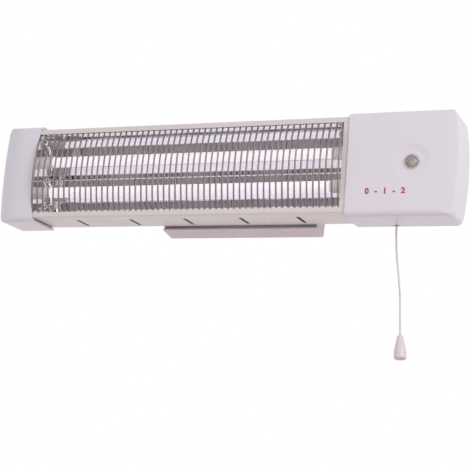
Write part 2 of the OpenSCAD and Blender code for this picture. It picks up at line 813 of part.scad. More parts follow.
// Pull switch: its body, the plunger with its cord, the spring under its head, and the cam
switch_half = 13;
switch_y0 = 26;
switch_z0 = -inner_z;
plunger_d = cord_hole_d - 0.5;
plunger_z = switch_z0 + 3.75;
plunger_length = 18;
head_d = plunger_d + 2.4;
head_h = 2;
chamber_z0 = plunger_z + 2;
chamber_z1 = plunger_z + plunger_length + head_h + 1.5;
cam_d = 10;
cam_width = 4;
cam_y = switch_y0 + 7.5;
cam_z = plunger_z + 14;
cam_axle_d = 3;
module switch_body() {
    color("#e2dfd6") on_heater() difference() {
        union() {
            block([cord_x - switch_half, switch_y0, switch_z0],
                [cord_x + switch_half, inner_y1 - sheet, switch_top]);
            block([cord_x - switch_half, switch_y0, switch_z0 + sheet],
                [cord_x + switch_half, inner_y1, switch_top]);
        }
        rod_z(plunger_d + 2 * run_gap, switch_z0 - past, chamber_z0 + past, cord_x, cord_depth);
        rod_z(head_d + 2 * run_gap, chamber_z0, chamber_z1, cord_x, cord_depth);
        rod_x(cam_d + 1.2, cord_x - cam_width / 2 - 0.4, cord_x + cam_width / 2 + 0.4, cam_y, cam_z);
        block([cord_x - cam_width / 2 - 0.4, cam_y, cam_z - 3],
            [cord_x + cam_width / 2 + 0.4, cord_depth, cam_z + 3]);
        rod_x(cam_axle_d + 2 * run_gap, cord_x - 6, cord_x + 6, cam_y, cam_z);
        for (side = [-1, 1])
            rod_y(block_screw_d + hole_gap, switch_y0 - past, inner_y1 + past,
                cord_x + side * switch_screw_x, switch_screw_z);
    }
}
module switch_screws() {
    head = 1.8;
    color(zinc) on_heater() for (side = [-1, 1]) translate([cord_x + side * switch_screw_x, 0, 0]) {
        rod_y(block_screw_d, switch_y0, casing_y1, 0, switch_screw_z);
        rod_y(2 * block_screw_d, casing_y1, casing_y1 + head, 0, switch_screw_z);
    }
}
module switch_plunger() {
    color(black) on_heater() difference() {
        union() {
            rod_z(plunger_d, plunger_z, plunger_z + plunger_length, cord_x, cord_depth);
            rod_z(head_d, plunger_z + plunger_length, plunger_z + plunger_length + head_h,
                cord_x, cord_depth);
        }
        rod_z(cord_d + hole_gap, plunger_z - past, plunger_z + 6, cord_x, cord_depth);
    }
}
module plunger_cord() {
    color("#c9c7c7") on_heater()
        rod_z(cord_d, -end_z, plunger_z + 6, cord_x, cord_depth);
}
// The spring at the length that it has when the cord is pulled right down
module return_spring() {
    fit = 0.2;
    color(zinc) on_heater() difference() {
        rod_z(head_d - fit, chamber_z0, plunger_z + plunger_length - pull_travel - fit,
            cord_x, cord_depth);
        rod_z(plunger_d + 2 * fit, chamber_z0 - past, plunger_z + plunger_length, cord_x, cord_depth);
    }
}
module switch_cam() {
    color("#b8663a") on_heater() {
        translate([cord_x - cam_width / 2, cam_y, cam_z]) rotate([0, 90, 0])
            cylinder(d = cam_d, h = cam_width, $fn = 8);
        rod_x(cam_axle_d, cord_x - 6 + face_gap, cord_x + 6 - face_gap, cam_y, cam_z);
    }
}

module cord_bush() {
    color(black) on_heater() difference() {
        rod_z(bush_d, cover_floor, switch_z0, cord_x, cord_depth);
        rod_z(cord_hole_d, cover_floor - past, switch_z0 + past, cord_x, cord_depth);
    }
}

// Pull cord: it hangs from the mouth of its hole, with a slight set to the right. Each point is a
// shift from that mouth
cord_mouth = to_row([cord_x, cord_depth, -end_z]);
cord_start = 0.6;
cord_points = [
    [0, 0, -cord_start], [0.2, 0, -5], [0.7, 0, -11], [1.5, 0, -18], [2.3, 0, -25], [3.4, 0, -33],
    [4.7, 0, -41], [6.3, 0, -49], [8, 0, -58], [9.6, 0, -67], [11.1, 0, -76], [12.2, 0, -85],
    [13.1, 0, -94], [13.9, 0, -102], [14.7, 0, -110], [15.3, 0, -116], [15.8, 0, -120.9]
];
cord_sides = 8;
module swept_tube(points, d, sides) {
    last = len(points) - 1;
    rings = [
        for (i = [0 : last])
            let (t = unit(points[min(i + 1, last)] - points[max(i - 1, 0)]),
                 u = unit(cross([0, 1, 0], t)),
                 v = cross(t, u))
            for (k = [0 : sides - 1])
                points[i] + (u * cos(k * 360 / sides) + v * sin(k * 360 / sides)) * d / 2
    ];
    walls = [
        for (i = [0 : last - 1], k = [0 : sides - 1])
            [i * sides + k, (i + 1) * sides + k,
             (i + 1) * sides + (k + 1) % sides, i * sides + (k + 1) % sides]
    ];
    polyhedron(
        rings,
        concat([[for (k = [0 : sides - 1]) k]],
            walls,
            [[for (k = [sides - 1 : -1 : 0]) last * sides + k]]),
        convexity = 4
    );
}
module pull_cord() {
    color("#c9c7c7") translate(cord_mouth) swept_tube(cord_points, cord_d, cord_sides);
}
module pull_knob() {
    neck_r = 3;
    taper = knob_length * 0.62;
    last = len(cord_points) - 1;
    end_run = cord_points[last] - cord_points[last - 1];
    color(plastic) translate(cord_mouth + cord_points[last])
        rotate([0, atan2(end_run[0], end_run[2]) - 180, 0]) rotate_extrude()
            polygon([
                [0, 0], [neck_r, 0], [knob_d / 2 - 0.4, -taper], [knob_d / 2, -taper - 3],
                [knob_d / 2, -knob_length + 0.6], [knob_d / 2 - 0.6, -knob_length], [0, -knob_length]
            ]);
}

// Terminal block on the casing's back
block_x0 = x_right - 50;
pole_pitch = 10;
pole_count = 3;
block_z0 = cover_post_z - 20;
block_height = 16;
block_depth = 14;
block_y0 = inner_y1 - block_depth;
function pole_x(i) = block_x0 + (i + 0.5) * pole_pitch;
module terminal_block() {
    color("#ddd8cc") on_heater() difference() {
        block([block_x0, block_y0, block_z0],
            [block_x0 + pole_count * pole_pitch, inner_y1, block_z0 + block_height]);
        for (i = [0 : pole_count - 1]) {
            rod_z(4, block_z0 - past, block_z0 + block_height + past, pole_x(i), block_y0 + 7);
            for (z = [4, block_height - 4])
                rod_y(4.4, block_y0 - past, block_y0 + 6, pole_x(i), block_z0 + z);
        }
    }
}
module terminal_screws() {
    color(brass) on_heater() for (i = [0 : pole_count - 1], z = [4, block_height - 4])
        rod_y(4.2, block_y0 + 0.5, block_y0 + 5.2, pole_x(i), block_z0 + z);
}

// Cable gland in the casing's back, its nut, and the clamp for a mains cord
gland_bore = 7.5;
gland_head = 8;
module cable_gland() {
    color(black) on_heater() difference() {
        union() {
            rod_y(gland_d, inner_y1 - 7, casing_y1 + past, gland_x, gland_z);
            rod_y(gland_d + 5, casing_y1, casing_y1 + 2, gland_x, gland_z);
            translate([gland_x, casing_y1 + gland_head, gland_z]) rotate([90, 0, 0])
                cylinder(d1 = gland_bore + 4, d2 = gland_d, h = gland_head - 1);
        }
        rod_y(gland_bore, inner_y1 - 9, casing_y1 + gland_head + past, gland_x, gland_z);
    }
}
module gland_nut() {
    color(black) on_heater() difference() {
        translate([gland_x, inner_y1, gland_z]) rotate([90, 0, 0])
            cylinder(d = 20, h = 4, $fn = 6);
        rod_y(gland_d + hole_gap, inner_y1 - 5, inner_y1 + past, gland_x, gland_z);
    }
}
clamp_rise = 8;
module cord_clamp() {
    half = clamp_half + 4;
    color("#e2dfd6") on_heater() difference() {
        block([gland_x - half, inner_y1 - clamp_rise, clamp_z - 5],
            [gland_x + half, inner_y1, clamp_z + 5]);
        rod_z(gland_bore, clamp_z - 5 - past, clamp_z + 5 + past, gland_x, inner_y1 - 2);
        for (side = [-1, 1])
            rod_y(block_screw_d + hole_gap, inner_y1 - clamp_rise - past, inner_y1 + past,
                gland_x + side * clamp_half, clamp_z);
    }
}
module clamp_screws() {
    head = 1.8;
    color(zinc) on_heater() for (side = [-1, 1]) translate([gland_x + side * clamp_half, 0, 0]) {
        rod_y(block_screw_d, inner_y1 - clamp_rise, casing_y1, 0, clamp_z);
        rod_y(2 * block_screw_d, inner_y1 - clamp_rise - head, inner_y1 - clamp_rise, 0, clamp_z);
    }
}

earth_stack = 5;
module earth_screw() {
    color(brass) on_heater() {
        rod_y(earth_d, inner_y1 - earth_stack, casing_y1, earth_x, earth_z);
        rod_y(2 * earth_d, casing_y1, casing_y1 + 2, earth_x, earth_z);
        rod_y(2.2 * earth_d, inner_y1 - 1, inner_y1, earth_x, earth_z);
        translate([earth_x, inner_y1 - 1, earth_z]) rotate([90, 0, 0])
            cylinder(d = 1.8 * earth_d, h = 3, $fn = 6);
    }
}

// Wiring
lead_d = 2.4;
block_mid_y = block_y0 + 7;
terminal_x1 = mirror_x1 + neck_length + 9;
terminal_x0 = mirror_x0 - neck_length - 9;
tag = stud_d + 1;
switch_pins = [-8, 0, 8];
switch_pin_y = switch_y0 + 12;
module live_lead() {
    color("#7a4a2c") on_heater() lead([
        [pole_x(0), block_mid_y, block_z0 + 2],
        [pole_x(0), block_mid_y, 10],
        [cord_x + switch_pins[2], switch_pin_y, -8],
        [cord_x + switch_pins[2], switch_pin_y, switch_top]
    ], lead_d);
}
module tube_lead(pin, z, turn_x) {
    color("#d8d4cc") on_heater() lead([
        [cord_x + switch_pins[pin], switch_pin_y, switch_top],
        [cord_x + switch_pins[pin], switch_pin_y, switch_top + 7 + 4 * pin],
        [turn_x, tube_depth + 12, z + 4],
        [terminal_x1, tube_depth + tag / 2 + lead_d / 2, z]
    ], lead_d);
}
module upper_lead() { tube_lead(1, tube_z, x_cover + 22); }
module lower_lead() { tube_lead(0, -tube_z, x_cover + 19); }
module neutral_lead() {
    color("#3a5a8c") on_heater() lead([
        [pole_x(2), block_mid_y, block_z0 + 2],
        [pole_x(2), lead_y + 1, lead_hole_z + 1.5],
        [open_x0 - 9, lead_y - 1, lead_hole_z - 1.5],
        [terminal_x0, tube_depth + tag / 2 + lead_d / 2, -tube_z]
    ], lead_d);
}
module link_lead() {
    y = tube_depth - tag / 2 - lead_d / 2;
    color("#d8d4cc") on_heater() lead([
        [terminal_x0, y, -tube_z],
        [terminal_x0, y - 6, -tube_z + 8],
        [terminal_x0, y - 6, tube_z - 8],
        [terminal_x0, y, tube_z]
    ], lead_d);
}
module earth_lead() {
    color("#6a8c3a") on_heater() lead([
        [pole_x(1), block_mid_y, block_z0 + block_height - 2],
        [pole_x(1), block_mid_y, block_z0 + block_height + 6],
        [earth_x + 14, lead_y - 8, earth_z + 16],
        [earth_x + 1, inner_y1 - 3, earth_z + 4.8]
    ], lead_d);
}
module lamp_leads() {
    foot = plastic_wall + 1 + holder_length;
    color("#2c2c30") on_heater() for (side = [-1, 1]) lead([
        [lens_x + side * 1.8, foot, lens_z],
        [lens_x + side * 1.8, foot + 6, lens_z],
        [pole_x(side < 0 ? 0 : 2) - 2.6, block_y0 + 4, block_z0 - 6],
        [pole_x(side < 0 ? 0 : 2) - 2.6, block_y0 + 4, block_z0]
    ], 1.4);
}

wall_bracket();
pivot_bolts();
pivot_nuts();
friction_washers();
casing_shell();
left_side_frame();
right_side_frame();
left_end_plate();
right_end_plate();
end_plate_rivets();
tilt_tabs();
tab_rivets();
reflector();
left_end_mirror();
right_end_mirror();
upper_quartz_tube();
lower_quartz_tube();
upper_heating_coil();
lower_heating_coil();
ceramic_tube_ends();
tube_terminals();
wire_guard();
left_end_cap();
cap_screws();
control_cover();
cover_screws();
indicator_lens();
lamp_holder();
neon_lamp();
switch_body();
switch_screws();
switch_plunger();
plunger_cord();
return_spring();
switch_cam();
cord_bush();
pull_cord();
pull_knob();
terminal_block();
terminal_screws();
cable_gland();
gland_nut();
cord_clamp();
clamp_screws();
earth_screw();
live_lead();
upper_lead();
lower_lead();
neutral_lead();
link_lead();
earth_lead();
lamp_leads();
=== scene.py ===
# %% [markdown]
# A quartz heater for a bathroom wall
#
# The heater is a folded steel channel with two quartz tubes in front of a polished reflector. A guard
# of chromed wires keeps hands and towels off the tubes. A small moulded cap closes the left end, and a
# wide moulded cover on the right holds the lamp and the pull switch. The whole heater tilts on a steel
# bracket that is screwed to the wall.
#
# The solids come ready made, as a fixed frame. This lesson gives each of them a material, and builds
# the pieces that need finer shapes: the cord and its knob, the wire guard, the reflector, the heating
# coils and the screws.

import json
import math

import bmesh
import bpy
from mathutils import Matrix, Vector


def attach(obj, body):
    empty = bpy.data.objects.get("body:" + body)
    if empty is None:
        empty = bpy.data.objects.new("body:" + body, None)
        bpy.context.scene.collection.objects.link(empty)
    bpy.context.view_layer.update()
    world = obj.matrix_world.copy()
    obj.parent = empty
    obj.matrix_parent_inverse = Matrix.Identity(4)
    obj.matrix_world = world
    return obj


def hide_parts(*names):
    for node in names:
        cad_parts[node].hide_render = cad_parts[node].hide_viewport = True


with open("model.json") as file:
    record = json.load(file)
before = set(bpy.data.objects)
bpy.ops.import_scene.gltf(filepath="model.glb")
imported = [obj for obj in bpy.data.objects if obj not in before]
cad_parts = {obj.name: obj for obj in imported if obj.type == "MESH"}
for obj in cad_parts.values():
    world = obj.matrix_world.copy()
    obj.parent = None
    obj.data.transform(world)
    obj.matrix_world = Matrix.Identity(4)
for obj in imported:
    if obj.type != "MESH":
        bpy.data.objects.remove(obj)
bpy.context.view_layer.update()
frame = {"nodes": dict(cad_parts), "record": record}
nodes = frame["nodes"]
scene = bpy.context.scene

# %% [markdown]
# Two frames of reference
#
# The part's frame has its origin on the wall, between the two screw holes. Everything that tilts is
# easier to describe in the heater's own upright frame, whose origin is the middle of its front. One
# matrix turns a place in the heater's frame into a place in the part's frame: move the pivot to the
# origin, tip the heater face down, and move the pivot to where it is in front of the wall.

# %% From the heater's frame to the part's frame
MM = 0.001
REST_TILT = math.radians(10)
BRACKET_OFFSET = 12 * MM
PIVOT_Y = 66 * MM
PIVOT_Z = -15 * MM
PIVOT_TO_WALL = 20.5 * MM
heater_to_part = (
    Matrix.Translation((-BRACKET_OFFSET, -PIVOT_TO_WALL, 0))
    @ Matrix.Rotation(REST_TILT, 4, "X")
    @ Matrix.Translation((0, -PIVOT_Y, -PIVOT_Z))
)


def place(x, y, z):
    """A point given in millimetres in the heater's frame, in metres in the part's frame."""
    return heater_to_part @ (Vector((x, y, z)) * MM)


print("middle of the front:", [round(v, 4) for v in place(0, 0, 0)])

# %% [markdown]
# The camera
#
# The picture was taken from below and from the right of the heater's middle, with a long lens. A
# camera is a place and three directions: its right, its up, and the way it looks. They are given in
# the heater's frame, because that is where the corners of the heater were measured, and the same
# matrix brings them into the part's frame.

# %% Camera
CAMERA_PLACE = (587.05, -1318.53, -384.05)
CAMERA_RIGHT = Vector((0.92525, 0.37144, 0.07707))
CAMERA_UP = Vector((0.00911, -0.22488, 0.97434))
CAMERA_AHEAD = Vector((-0.37924, 0.90081, 0.21145))
SENSOR = 36
FOCAL_PIXELS = 1387.19
IMAGE_PIXELS = 470

camera_data = bpy.data.cameras.new("camera")
camera_data.sensor_width = SENSOR
camera_data.lens = FOCAL_PIXELS / IMAGE_PIXELS * SENSOR
camera = bpy.data.objects.new("camera", camera_data)
scene.collection.objects.link(camera)
turn = Matrix((CAMERA_RIGHT, CAMERA_UP, -CAMERA_AHEAD)).transposed()
camera.matrix_world = heater_to_part @ Matrix.Translation(Vector(CAMERA_PLACE) * MM) @ turn.to_4x4()
scene.camera = camera
camera_spot = [round(v, 3) for v in camera.matrix_world.translation]
print("camera at", camera_spot, "m, lens", round(camera_data.lens, 1), "mm")

# %% [markdown]
# The world
#
# The heater hangs before plain white. The world is white where the camera, a mirror or glass sees it,
# and gentler where it lights a surface, so that the pale plastics keep their shade. The Light Path node
# tells the two kinds of ray apart.

# %% Shader node helpers
def add(tree, kind, **settings):
    """A node of a kind, with its own settings made at once."""
    node = tree.nodes.new(kind)
    for key, value in settings.items():
        setattr(node, key, value)
    return node


def join(tree, start, end):
    """A link from (node, output) to (node, input)."""
    tree.links.new(start[0].outputs[start[1]], end[0].inputs[end[1]])


def seen_ray(tree):
    """1 where the camera, a mirror or glass looks, and 0 where light only bounces on."""
    rays = add(tree, "ShaderNodeLightPath")
    first = add(tree, "ShaderNodeMath", operation="MAXIMUM")
    second = add(tree, "ShaderNodeMath", operation="MAXIMUM")
    join(tree, (rays, "Is Camera Ray"), (first, 0))
    join(tree, (rays, "Is Glossy Ray"), (first, 1))
    join(tree, (first, 0), (second, 0))
    join(tree, (rays, "Is Transmission Ray"), (second, 1))
    return (second, 0)


# %% World
scene.view_settings.view_transform = "Standard"
SKY_LIGHT = 0.68

world = bpy.data.worlds.new("studio")
scene.world = world
world.use_nodes = True
sky = world.node_tree
sky.nodes.clear()
strength = add(sky, "ShaderNodeMapRange")
strength.inputs["To Min"].default_value = SKY_LIGHT
strength.inputs["To Max"].default_value = 1
background = add(sky, "ShaderNodeBackground")
background.inputs["Color"].default_value = (1, 1, 1, 1)
join(sky, seen_ray(sky), (strength, "Value"))
join(sky, (strength, "Result"), (background, "Strength"))
join(sky, (background, 0), (add(sky, "ShaderNodeOutputWorld"), "Surface"))
print("world light", SKY_LIGHT)

# %% [markdown]
# The lamps
#
# Two large soft lamps add the slow change from face to face: a faint one in front, a little left and
# above, and a stronger, warmer one on the right.

# %% Lamps
LAMP_TARGET = place(0, 25, 0)


def soft_lamp(name, place_mm, width, height, power, colour):
    """A flat lamp that faces the middle of the heater. Its place is in the heater's frame."""
    lamp = bpy.data.lights.new(name, "AREA")
    lamp.shape = "RECTANGLE"
    lamp.size = width
    lamp.size_y = height
    lamp.energy = power
    lamp.color = colour
    thing = bpy.data.objects.new(name, lamp)
    scene.collection.objects.link(thing)
    thing.location = place(*place_mm)
    thing.rotation_euler = (LAMP_TARGET - thing.location).to_track_quat("-Z", "Y").to_euler()
    print(name, power, "W")


soft_lamp("lamp_left", (-650, -1500, 560), width=1.2, height=0.8, power=2.5, colour=(0.96, 0.97, 1.0))
soft_lamp("lamp_right", (1500, -950, 450), width=1.0, height=1.0, power=13, colour=(1.0, 0.96, 0.87))

# %% [markdown]
# The floor
#
# The floor is a pale sheet far below, which takes the heater's shadow. The light that it throws back
# onto the heater is a little redder than the floor itself looks. It fades to the world's white a few
# metres out, so that no edge of it shows, and it is see-through from underneath, because a heater on a
# wall is also looked at from low down.

# %% Floor sheet
FLOOR_Z = -0.75
FLOOR_REACH = 12
corners = [(x * FLOOR_REACH, y * FLOOR_REACH, FLOOR_Z) for x, y in ((-1, -1), (1, -1), (1, 1), (-1, 1))]
floor_mesh = bpy.data.meshes.new("floor")
floor_mesh.from_pydata(corners, [], [(0, 1, 2, 3)])
floor = bpy.data.objects.new("floor", floor_mesh)
scene.collection.objects.link(floor)
print("floor at", FLOOR_Z, "m")

# %% Floor paint
FADE_START, FADE_END = 1.0, 4.0
FLOOR_BOUNCE = (0.90, 0.81, 0.80, 1)
FLOOR_SEEN = (0.90, 0.89, 0.94, 1)
floor_paint = bpy.data.materials.new("floor_paint")
floor_paint.use_nodes = True
floor_tree = floor_paint.node_tree
pale = floor_tree.nodes["Principled BSDF"]
pale.inputs["Roughness"].default_value = 0.8
tone = add(floor_tree, "ShaderNodeMix", data_type="RGBA")
tone.inputs["A"].default_value = FLOOR_BOUNCE
tone.inputs["B"].default_value = FLOOR_SEEN
join(floor_tree, seen_ray(floor_tree), (tone, "Factor"))
join(floor_tree, (tone, "Result"), (pale, "Base Color"))
floor_place = add(floor_tree, "ShaderNodeTexCoord")
distance = add(floor_tree, "ShaderNodeVectorMath", operation="LENGTH")
fade = add(floor_tree, "ShaderNodeMapRange", interpolation_type="SMOOTHSTEP")
fade.inputs["From Min"].default_value = FADE_START
fade.inputs["From Max"].default_value = FADE_END
fade_seen = add(floor_tree, "ShaderNodeMath", operation="MULTIPLY")
plain_white = add(floor_tree, "ShaderNodeEmission")
far_mix = add(floor_tree, "ShaderNodeMixShader")
under = add(floor_tree, "ShaderNodeNewGeometry")
clear = add(floor_tree, "ShaderNodeBsdfTransparent")
under_mix = add(floor_tree, "ShaderNodeMixShader")
join(floor_tree, (floor_place, "Object"), (distance, 0))
join(floor_tree, (distance, "Value"), (fade, "Value"))
join(floor_tree, (fade, "Result"), (fade_seen, 0))
join(floor_tree, seen_ray(floor_tree), (fade_seen, 1))
join(floor_tree, (fade_seen, 0), (far_mix, 0))
join(floor_tree, (pale, 0), (far_mix, 1))
join(floor_tree, (plain_white, 0), (far_mix, 2))
join(floor_tree, (under, "Backfacing"), (under_mix, 0))
join(floor_tree, (far_mix, 0), (under_mix, 1))
join(floor_tree, (clear, 0), (under_mix, 2))
join(floor_tree, (under_mix, 0), (floor_tree.nodes["Material Output"], "Surface"))
floor_mesh.materials.append(floor_paint)
print("the floor is white from", FADE_END, "m out")

# %% [markdown]
# Dark cards for the mirrors
#
# Chrome and polished sheet look like what stands around them. Between the white images of the tubes the
# troughs need something dark to show. They mirror what is in front on the left, and the plate at their
# left end mirrors what is in front on the right. Two low dark cards, curved like pieces of a round
# wall, give them that. Only mirrors see them, and they cast no shadow.

# %% Dark cards for the mirrors
CARD_RADIUS = 1.2
CARD_LOW, CARD_HIGH = -0.14, 0.27
CARD_STEPS, CARD_STEP_ANGLE = 8, 4


def dark_card(name, start_angle, colour):
    """A bent card round the heater, from an angle about Z, that only mirrors see."""
    verts, faces = [], []
    for i in range(CARD_STEPS + 1):
        a = math.radians(start_angle + CARD_STEP_ANGLE * i)
        for z in (CARD_LOW, CARD_HIGH):
            verts.append((CARD_RADIUS * math.cos(a), CARD_RADIUS * math.sin(a), z))
    for i in range(CARD_STEPS):
        faces.append((2 * i, 2 * i + 1, 2 * i + 3, 2 * i + 2))
    mesh = bpy.data.meshes.new(name)
    mesh.from_pydata(verts, [], faces)
    card = bpy.data.objects.new(name, mesh)
    scene.collection.objects.link(card)
    for kind in ("camera", "diffuse", "transmission", "shadow", "volume_scatter"):
        setattr(card, "visible_" + kind, False)
    paint = bpy.data.materials.new(name + "_paint")
    paint.use_nodes = True
    shader = paint.node_tree.nodes["Principled BSDF"]
    shader.inputs["Base Color"].default_value = (*colour, 1)
    shader.inputs["Roughness"].default_value = 1.0
    mesh.materials.append(paint)


dark_card("dark_card_left", 228, (0.34, 0.295, 0.32))
dark_card("dark_card_right", 280, (0.24, 0.21, 0.19))
print("dark cards", CARD_RADIUS, "m away")

# %% [markdown]
# The pull cord
#
# A thin twisted cord hangs from the mouth of its hole and ends in a moulded knob. It still has a slight
# set to the right from its packing. The route is the one that the solid follows, as shifts in X and Z
# from the mouth of the hole. A tube is swept along a smooth curve through those points. It has three
# shallow lobes that turn once every few millimetres, which is what twisted yarns look like.

# %% Cord route
CORD_DIAMETER = 2 * MM
CORD_HOLE = (194.5, 45, -55.5)
cord_mouth = place(*CORD_HOLE)
cord_shifts = [
    (0, -0.6), (0.2, -5), (0.7, -11), (1.5, -18), (2.3, -25), (3.4, -33), (4.7, -41), (6.3, -49),
    (8, -58), (9.6, -67), (11.1, -76), (12.2, -85), (13.1, -94), (13.9, -102), (14.7, -110),
    (15.3, -116), (15.8, -120.9),
]
cord_route = [cord_mouth + Vector((x, 0, z)) * MM for x, z in cord_shifts]

# %% [markdown]
# Lines and meshes
#
# Five small functions do the plain work for the pieces that follow: a smooth line through points, an
# object for a mesh, a mesh with its faces turned outward, a bent line with rounded corners, and a body
# turned round an axis.

# %% Line and mesh helpers
BEND_STEPS = 6
BEND_SHARE = 0.45


def smooth_line(points, step):
    """Points about a step apart on a smooth curve that passes through the given ones."""
    line = []
    last = len(points) - 1
    for i in range(last):
        p0, p1, p2, p3 = (points[max(0, min(last, i + k))] for k in (-1, 0, 1, 2))
        count = max(1, round((p2 - p1).length / step))
        for k in range(count):
            t = k / count
            line.append(
                0.5 * (2 * p1 + (p2 - p0) * t + (2 * p0 - 5 * p1 + 4 * p2 - p3) * t**2
                       + (3 * p1 - p0 - 3 * p2 + p3) * t**3)
            )
    return line + [points[-1]]


def new_piece(name, mesh, smooth=True):
    """An object for a finished mesh, at the origin."""
    for face in mesh.polygons:
        face.use_smooth = smooth
    thing = bpy.data.objects.new(name, mesh)
    scene.collection.objects.link(thing)
    return thing


def closed_mesh(name, verts, faces):
    """A mesh with every face turned outward."""
    mesh = bpy.data.meshes.new(name)
    mesh.from_pydata(verts, [], faces)
    bm = bmesh.new()
    bm.from_mesh(mesh)
    bmesh.ops.recalc_face_normals(bm, faces=bm.faces)
    bm.to_mesh(mesh)
    bm.free()
    return mesh


def rounded(points, radius, shoulder=0):
    """The points of a bent line, with a short curve in place of each corner. The curve never takes up
    more than BEND_SHARE of a run. A shoulder adds a point that far outside both ends of the curve, so
    that smooth shading leaves the flats flat."""
    line = [Vector(points[0])]
    for before, here, after in zip(points, points[1:], points[2:]):
        before, here, after = Vector(before), Vector(here), Vector(after)
        back = min(radius, BEND_SHARE * (before - here).length, BEND_SHARE * (after - here).length)
        start = here + (before - here).normalized() * back
        end = here + (after - here).normalized() * back
        if shoulder:
            line.append(start + (before - here).normalized() * shoulder)
        for i in range(BEND_STEPS + 1):
            t = i / BEND_STEPS
            line.append((1 - t) ** 2 * start + 2 * t * (1 - t) * here + t**2 * end)
        if shoulder:
            line.append(end + (after - here).normalized() * shoulder)
    return line + [Vector(points[-1])]


def turned_mesh(name, line, sides, matrix):
    """A closed body of revolution about the Z axis of a matrix. The line starts and ends on the axis."""
    inner = line[1:-1]
    verts = [Vector((0, 0, line[0].y))]
    for r, z in inner:
        for k in range(sides):
            a = 2 * math.pi * k / sides
            verts.append(Vector((r * math.cos(a), r * math.sin(a), z)))
    verts.append(Vector((0, 0, line[-1].y)))
    faces = []
    for k in range(sides):
        n = (k + 1) % sides
        faces.append((0, 1 + k, 1 + n))
        for i in range(len(inner) - 1):
            a, b = 1 + i * sides, 1 + (i + 1) * sides
            faces.append((a + k, b + k, b + n, a + n))
        a = 1 + (len(inner) - 1) * sides
        faces.append((a + n, a + k, len(verts) - 1))
    return closed_mesh(name, [matrix @ (v * MM) for v in verts], faces)


# %% [markdown]
# The knob
#
# The knob follows the end of the cord. It is turned round its own axis from a short profile: a narrow
# neck that grips the cord, a slow bell, a straight skirt with a soft lower edge, and a hollow foot.

# %% Knob piece
KNOB_RADIUS = 6.3
KNOB_LENGTH = 24.5
KNOB_ROUND = 1.6
KNOB_SIDES = 56
knob_profile = rounded([
    (0.0, -0.2), (2.5, 0.0), (3.0, -0.6), (3.5, -3.5), (5.9, -14.6), (KNOB_RADIUS, -17.6),
    (KNOB_RADIUS, -KNOB_LENGTH + 0.6), (5.9, -KNOB_LENGTH), (4.6, -KNOB_LENGTH),
    (4.2, -KNOB_LENGTH + 1.2), (0.0, -KNOB_LENGTH + 1.6),
], KNOB_ROUND)
end_run = cord_route[-2] - cord_route[-1]
knob_turn = Vector((0, 0, 1)).rotation_difference(end_run).to_matrix().to_4x4()
knob_place = Matrix.Translation(cord_route[-1]) @ knob_turn
knob_mesh = turned_mesh("pull_knob_turned", knob_profile, KNOB_SIDES, knob_place)
knob = new_piece("pull_knob_turned", knob_mesh)
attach(knob, "cord")
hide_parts("pull_knob")
print("knob", round(2 * KNOB_RADIUS, 1), "mm wide,", KNOB_LENGTH, "mm long")

# %% Cord piece
CORD_SIDES = 18
CORD_LOBES = 3
LOBE_DEPTH = 0.04
TWIST_LENGTH = 7 * MM
CORD_STEP = 0.6 * MM
cord_line = smooth_line(cord_route, CORD_STEP)
verts = []
for i, p in enumerate(cord_line):
    ahead = (cord_line[min(i + 1, len(cord_line) - 1)] - cord_line[max(i - 1, 0)]).normalized()
    side = Vector((0, 1, 0)).cross(ahead).normalized()
    other = ahead.cross(side)
    twist = i * CORD_STEP / TWIST_LENGTH * 2 * math.pi
    for k in range(CORD_SIDES):
        a = 2 * math.pi * k / CORD_SIDES
        r = CORD_DIAMETER / 2 * (1 - LOBE_DEPTH + LOBE_DEPTH * math.cos(CORD_LOBES * a - twist))
        verts.append(p + (side * math.cos(a) + other * math.sin(a)) * r)
faces = []
for i in range(len(cord_line) - 1):
    for k in range(CORD_SIDES):
        n = (k + 1) % CORD_SIDES
        a = i * CORD_SIDES
        faces.append((a + k, a + CORD_SIDES + k, a + CORD_SIDES + n, a + n))
faces.append(tuple(range(CORD_SIDES)))
faces.append(tuple(reversed(range(len(verts) - CORD_SIDES, len(verts)))))
cord = new_piece("pull_cord_twisted", closed_mesh("pull_cord_twisted", verts, faces))
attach(cord, "cord")
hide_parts("pull_cord")
print("cord rings", len(cord_line))

# %% [markdown]
# Shared shader parts
#
# Several finishes need the same three effects, so each effect is a node group that is built once and
# placed in every material with its own values. One finds the edges of a shape, where paint is thin and
# plastic is rubbed, and where the white plastic of the cap and cover gets a painted highlight: a lighter,
# warmer edge where light catches it. One makes a fine, even grain for the height of a bump. One makes
# slow, faint patches, because no moulding or coat of paint has quite the same colour all over.

# %% Group helpers
def new_group(name, inputs, outputs):
    """An empty shader group with named float, vector or colour sockets."""
    kinds = {"float": "NodeSocketFloat", "vector": "NodeSocketVector", "colour": "NodeSocketColor"}
    group = bpy.data.node_groups.new(name, "ShaderNodeTree")
    for title, kind, value in inputs:
        socket = group.interface.new_socket(title, in_out="INPUT", socket_type=kinds[kind])
        if value is not None:
            socket.default_value = value
    for title, kind in outputs:
        group.interface.new_socket(title, in_out="OUTPUT", socket_type=kinds[kind])
    return group, group.nodes.new("NodeGroupInput"), group.nodes.new("NodeGroupOutput")


